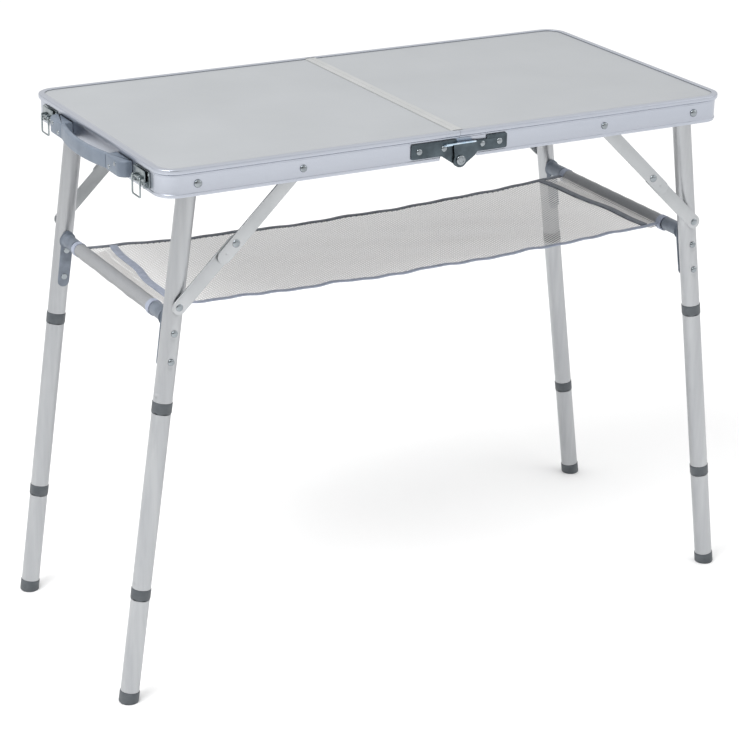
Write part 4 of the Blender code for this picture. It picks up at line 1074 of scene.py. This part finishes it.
for side, half in HALVES:
    panel, length, tapes = panels[half]
    turn, at_rod = [side, 1, 1], [side * ROD_X, 0, ROD_Z]
    points = sleeve(np.linspace(-SLEEVE_HALF, SLEEVE_HALF, 80), 1, 0.93) * turn + at_rod
    # The sleeve takes the darker net: painted shade on the round sleeve.
    around_rod = piece(f"net_sleeve_{half}", [grid(points, True)], net_double_painted_shade, f"{half}_legs",
                       (), 60)
    mouths = [grid(sleeve(way * np.linspace(MOUTH_HALF - 0.009, MOUTH_HALF, 7), 1.10, 0.9) * turn
                   + at_rod, True) for way in (-1, 1)]
    mouth = piece(f"sleeve_mouths_{half}", mouths, tape_blue, f"{half}_legs", (), 60)

    v = np.linspace(-0.97, 0.97, 60)
    seam_in = 0.028 + 0.010 * np.clip(v, -0.6, 1) + 0.0016 * np.sin(v * 7)
    line = cloth(side * (SPAN - seam_in), v, 0.0008)
    inward = np.cross(np.gradient(line, axis=0), Z_AXIS)
    inward /= np.linalg.norm(inward, axis=1, keepdims=True)
    # The right seam tape takes the darker copy of the tape: painted shade.
    seam = cloth_piece(f"seam_tape_{half}",
                       [grid(carried(line, inward, Z_AXIS, tape_section(0.0105)))],
                       tape_blue if side < 0 else tape_painted_shade, half)

    rows = np.linspace(0, 1, 14)[:, None]
    x = side * (SPAN - rows * seam_in[None])
    fold = cloth(x, np.broadcast_to(v, x.shape))
    fold[..., 2] -= (0.0045 * (1 - rows) + 0.0030 * np.sin(np.pi * rows)) + 0.0008
    folded_back = cloth_piece(f"net_fold_{half}", [open_sheet(fold)], net, half)
    print("flat size of an end length, mm:", round(1000 * length, 1))
panel, length, tapes = panels["middle"]

# %% [markdown]
# The boards keep their CAD shape: they are flat, with their edges under the lip, and a new
# surface would look no different. Laminate catches light evenly, so the finish does the work.

# %% Finish on the boards
for name, obj in frame["nodes"].items():
    if not obj.hide_render:
        obj.data.materials.clear()
        obj.data.materials.append(laminate)
        print("CAD node kept:", name)

# %% [markdown]
# A plain studio: a wide pale floor, a pale sky that lights from all round, one large soft
# light above the front left and a weaker one on the right. A studio picture wrapped round the
# world could light it too. Bare metal has no colour of its own and shows its surroundings, so
# all that the sky needs is to be darker on the side behind the camera, which gives the tubes
# and the skirt their soft grey bands.
# %% Floor, lights and sky
FLOOR_RADIUS = 90  # metres, so that its far edge meets the sky at the horizon
DARK_SIDE = (-0.456, -0.850, 0.262)
scene = bpy.context.scene
scene.view_settings.view_transform = "Standard"
floor_mesh = bpy.data.meshes.new("floor")
rim = FLOOR_RADIUS * arc((0, 0), 1, 0, 360, 65)[:-1]
floor_points = np.concatenate([rim, np.full((64, 1), -0.0002)], 1)
floor_mesh.from_pydata(floor_points.tolist(), [], [list(range(64))])
floor = bpy.data.objects.new("floor", floor_mesh)
scene.collection.objects.link(floor)
# Matt white paint: bright, with almost no reflection.
pale, _ = new_material("matt_white_floor", "#FBFBFB", 0.9, 0.0, Specular_IOR_Level=0.1)
floor_mesh.materials.append(pale)


def soft_light(name, place, aim, size, power):
    """A square area light at place that faces aim."""
    lamp = bpy.data.lights.new(name, "AREA")
    lamp.size, lamp.energy = size, power
    obj = bpy.data.objects.new(name, lamp)
    place, aim = np.array(place, float), np.array(aim, float)
    back = (place - aim) / np.linalg.norm(place - aim)
    right = np.cross(Z_AXIS, back)
    right /= np.linalg.norm(right)
    matrix = np.eye(4)
    matrix[:3] = np.stack([right, np.cross(back, right), back, place], 1)
    obj.matrix_world = Matrix(matrix)
    scene.collection.objects.link(obj)


soft_light("key", (-2.0, -0.9, 3.2), (0, 0, 0.4), 1.8, 74)
soft_light("fill", (2.8, -2.0, 1.8), (0, 0, 0.4), 1.6, 10)

sky = bpy.data.worlds.new("studio")
scene.world = sky
sky.use_nodes = True
background = sky.node_tree.nodes["Background"]
background.inputs["Color"].default_value = (1, 1, 1, 1)


def smooth(value, start, stop, low, high):
    """A smooth step from low to high as value goes from start to stop."""
    limits = {"interpolation_type": "SMOOTHSTEP", "From Min": start, "From Max": stop,
              "To Min": low, "To Max": high}
    return add(sky, "ShaderNodeMapRange", limits, {"Value": value}).outputs["Result"]


toward = add(sky, "ShaderNodeTexCoord").outputs["Generated"]
nearness = add(sky, "ShaderNodeVectorMath", {"operation": "DOT_PRODUCT", 1: DARK_SIDE},
               {0: toward})
height = add(sky, "ShaderNodeSeparateXYZ", {}, {"Vector": toward})
strength = add(sky, "ShaderNodeMath", {"operation": "MULTIPLY"},
               {0: smooth(nearness.outputs["Value"], 0.72, 0.97, 1.0, 0.35),
                1: smooth(height.outputs["Z"], 0.05, 0.65, 0.80, 1.10)})
wire(sky, strength.outputs["Value"], background.inputs["Strength"])

# %% [markdown]
# The camera stands to the left of the front and a little above the top, far enough away that
# the legs stay nearly parallel. A Track To constraint could aim it, but gives no hold on the
# roll, so its axes are built from a heading, a downward tilt and a roll.

# %% Camera
HEADING, TILT, ROLL = 0.4920, 0.3824, 0.0115
ahead = (math.sin(HEADING) * math.cos(TILT), math.cos(HEADING) * math.cos(TILT), -math.sin(TILT))
level = np.array([math.cos(HEADING), -math.sin(HEADING), 0.0])
above = np.cross(level, ahead)
place = np.array([-1.43434, -2.58583, 1.48244])
matrix = np.eye(4)
matrix[:3, 0] = level * math.cos(ROLL) + above * math.sin(ROLL)
matrix[:3, 1] = above * math.cos(ROLL) - level * math.sin(ROLL)
matrix[:3, 2], matrix[:3, 3] = -np.array(ahead), place
lens = bpy.data.cameras.new("camera")
lens.lens, lens.sensor_width, lens.shift_x, lens.shift_y = 114.35, 36.0, 0.03494, 0.01374
lens.clip_end = 250.0
camera = bpy.data.objects.new("camera", lens)
camera.matrix_world = Matrix(matrix)
scene.collection.objects.link(camera)
scene.camera = camera
print("camera distance, m:", round(float(np.linalg.norm(place - [0, 0, 0.35])), 2))
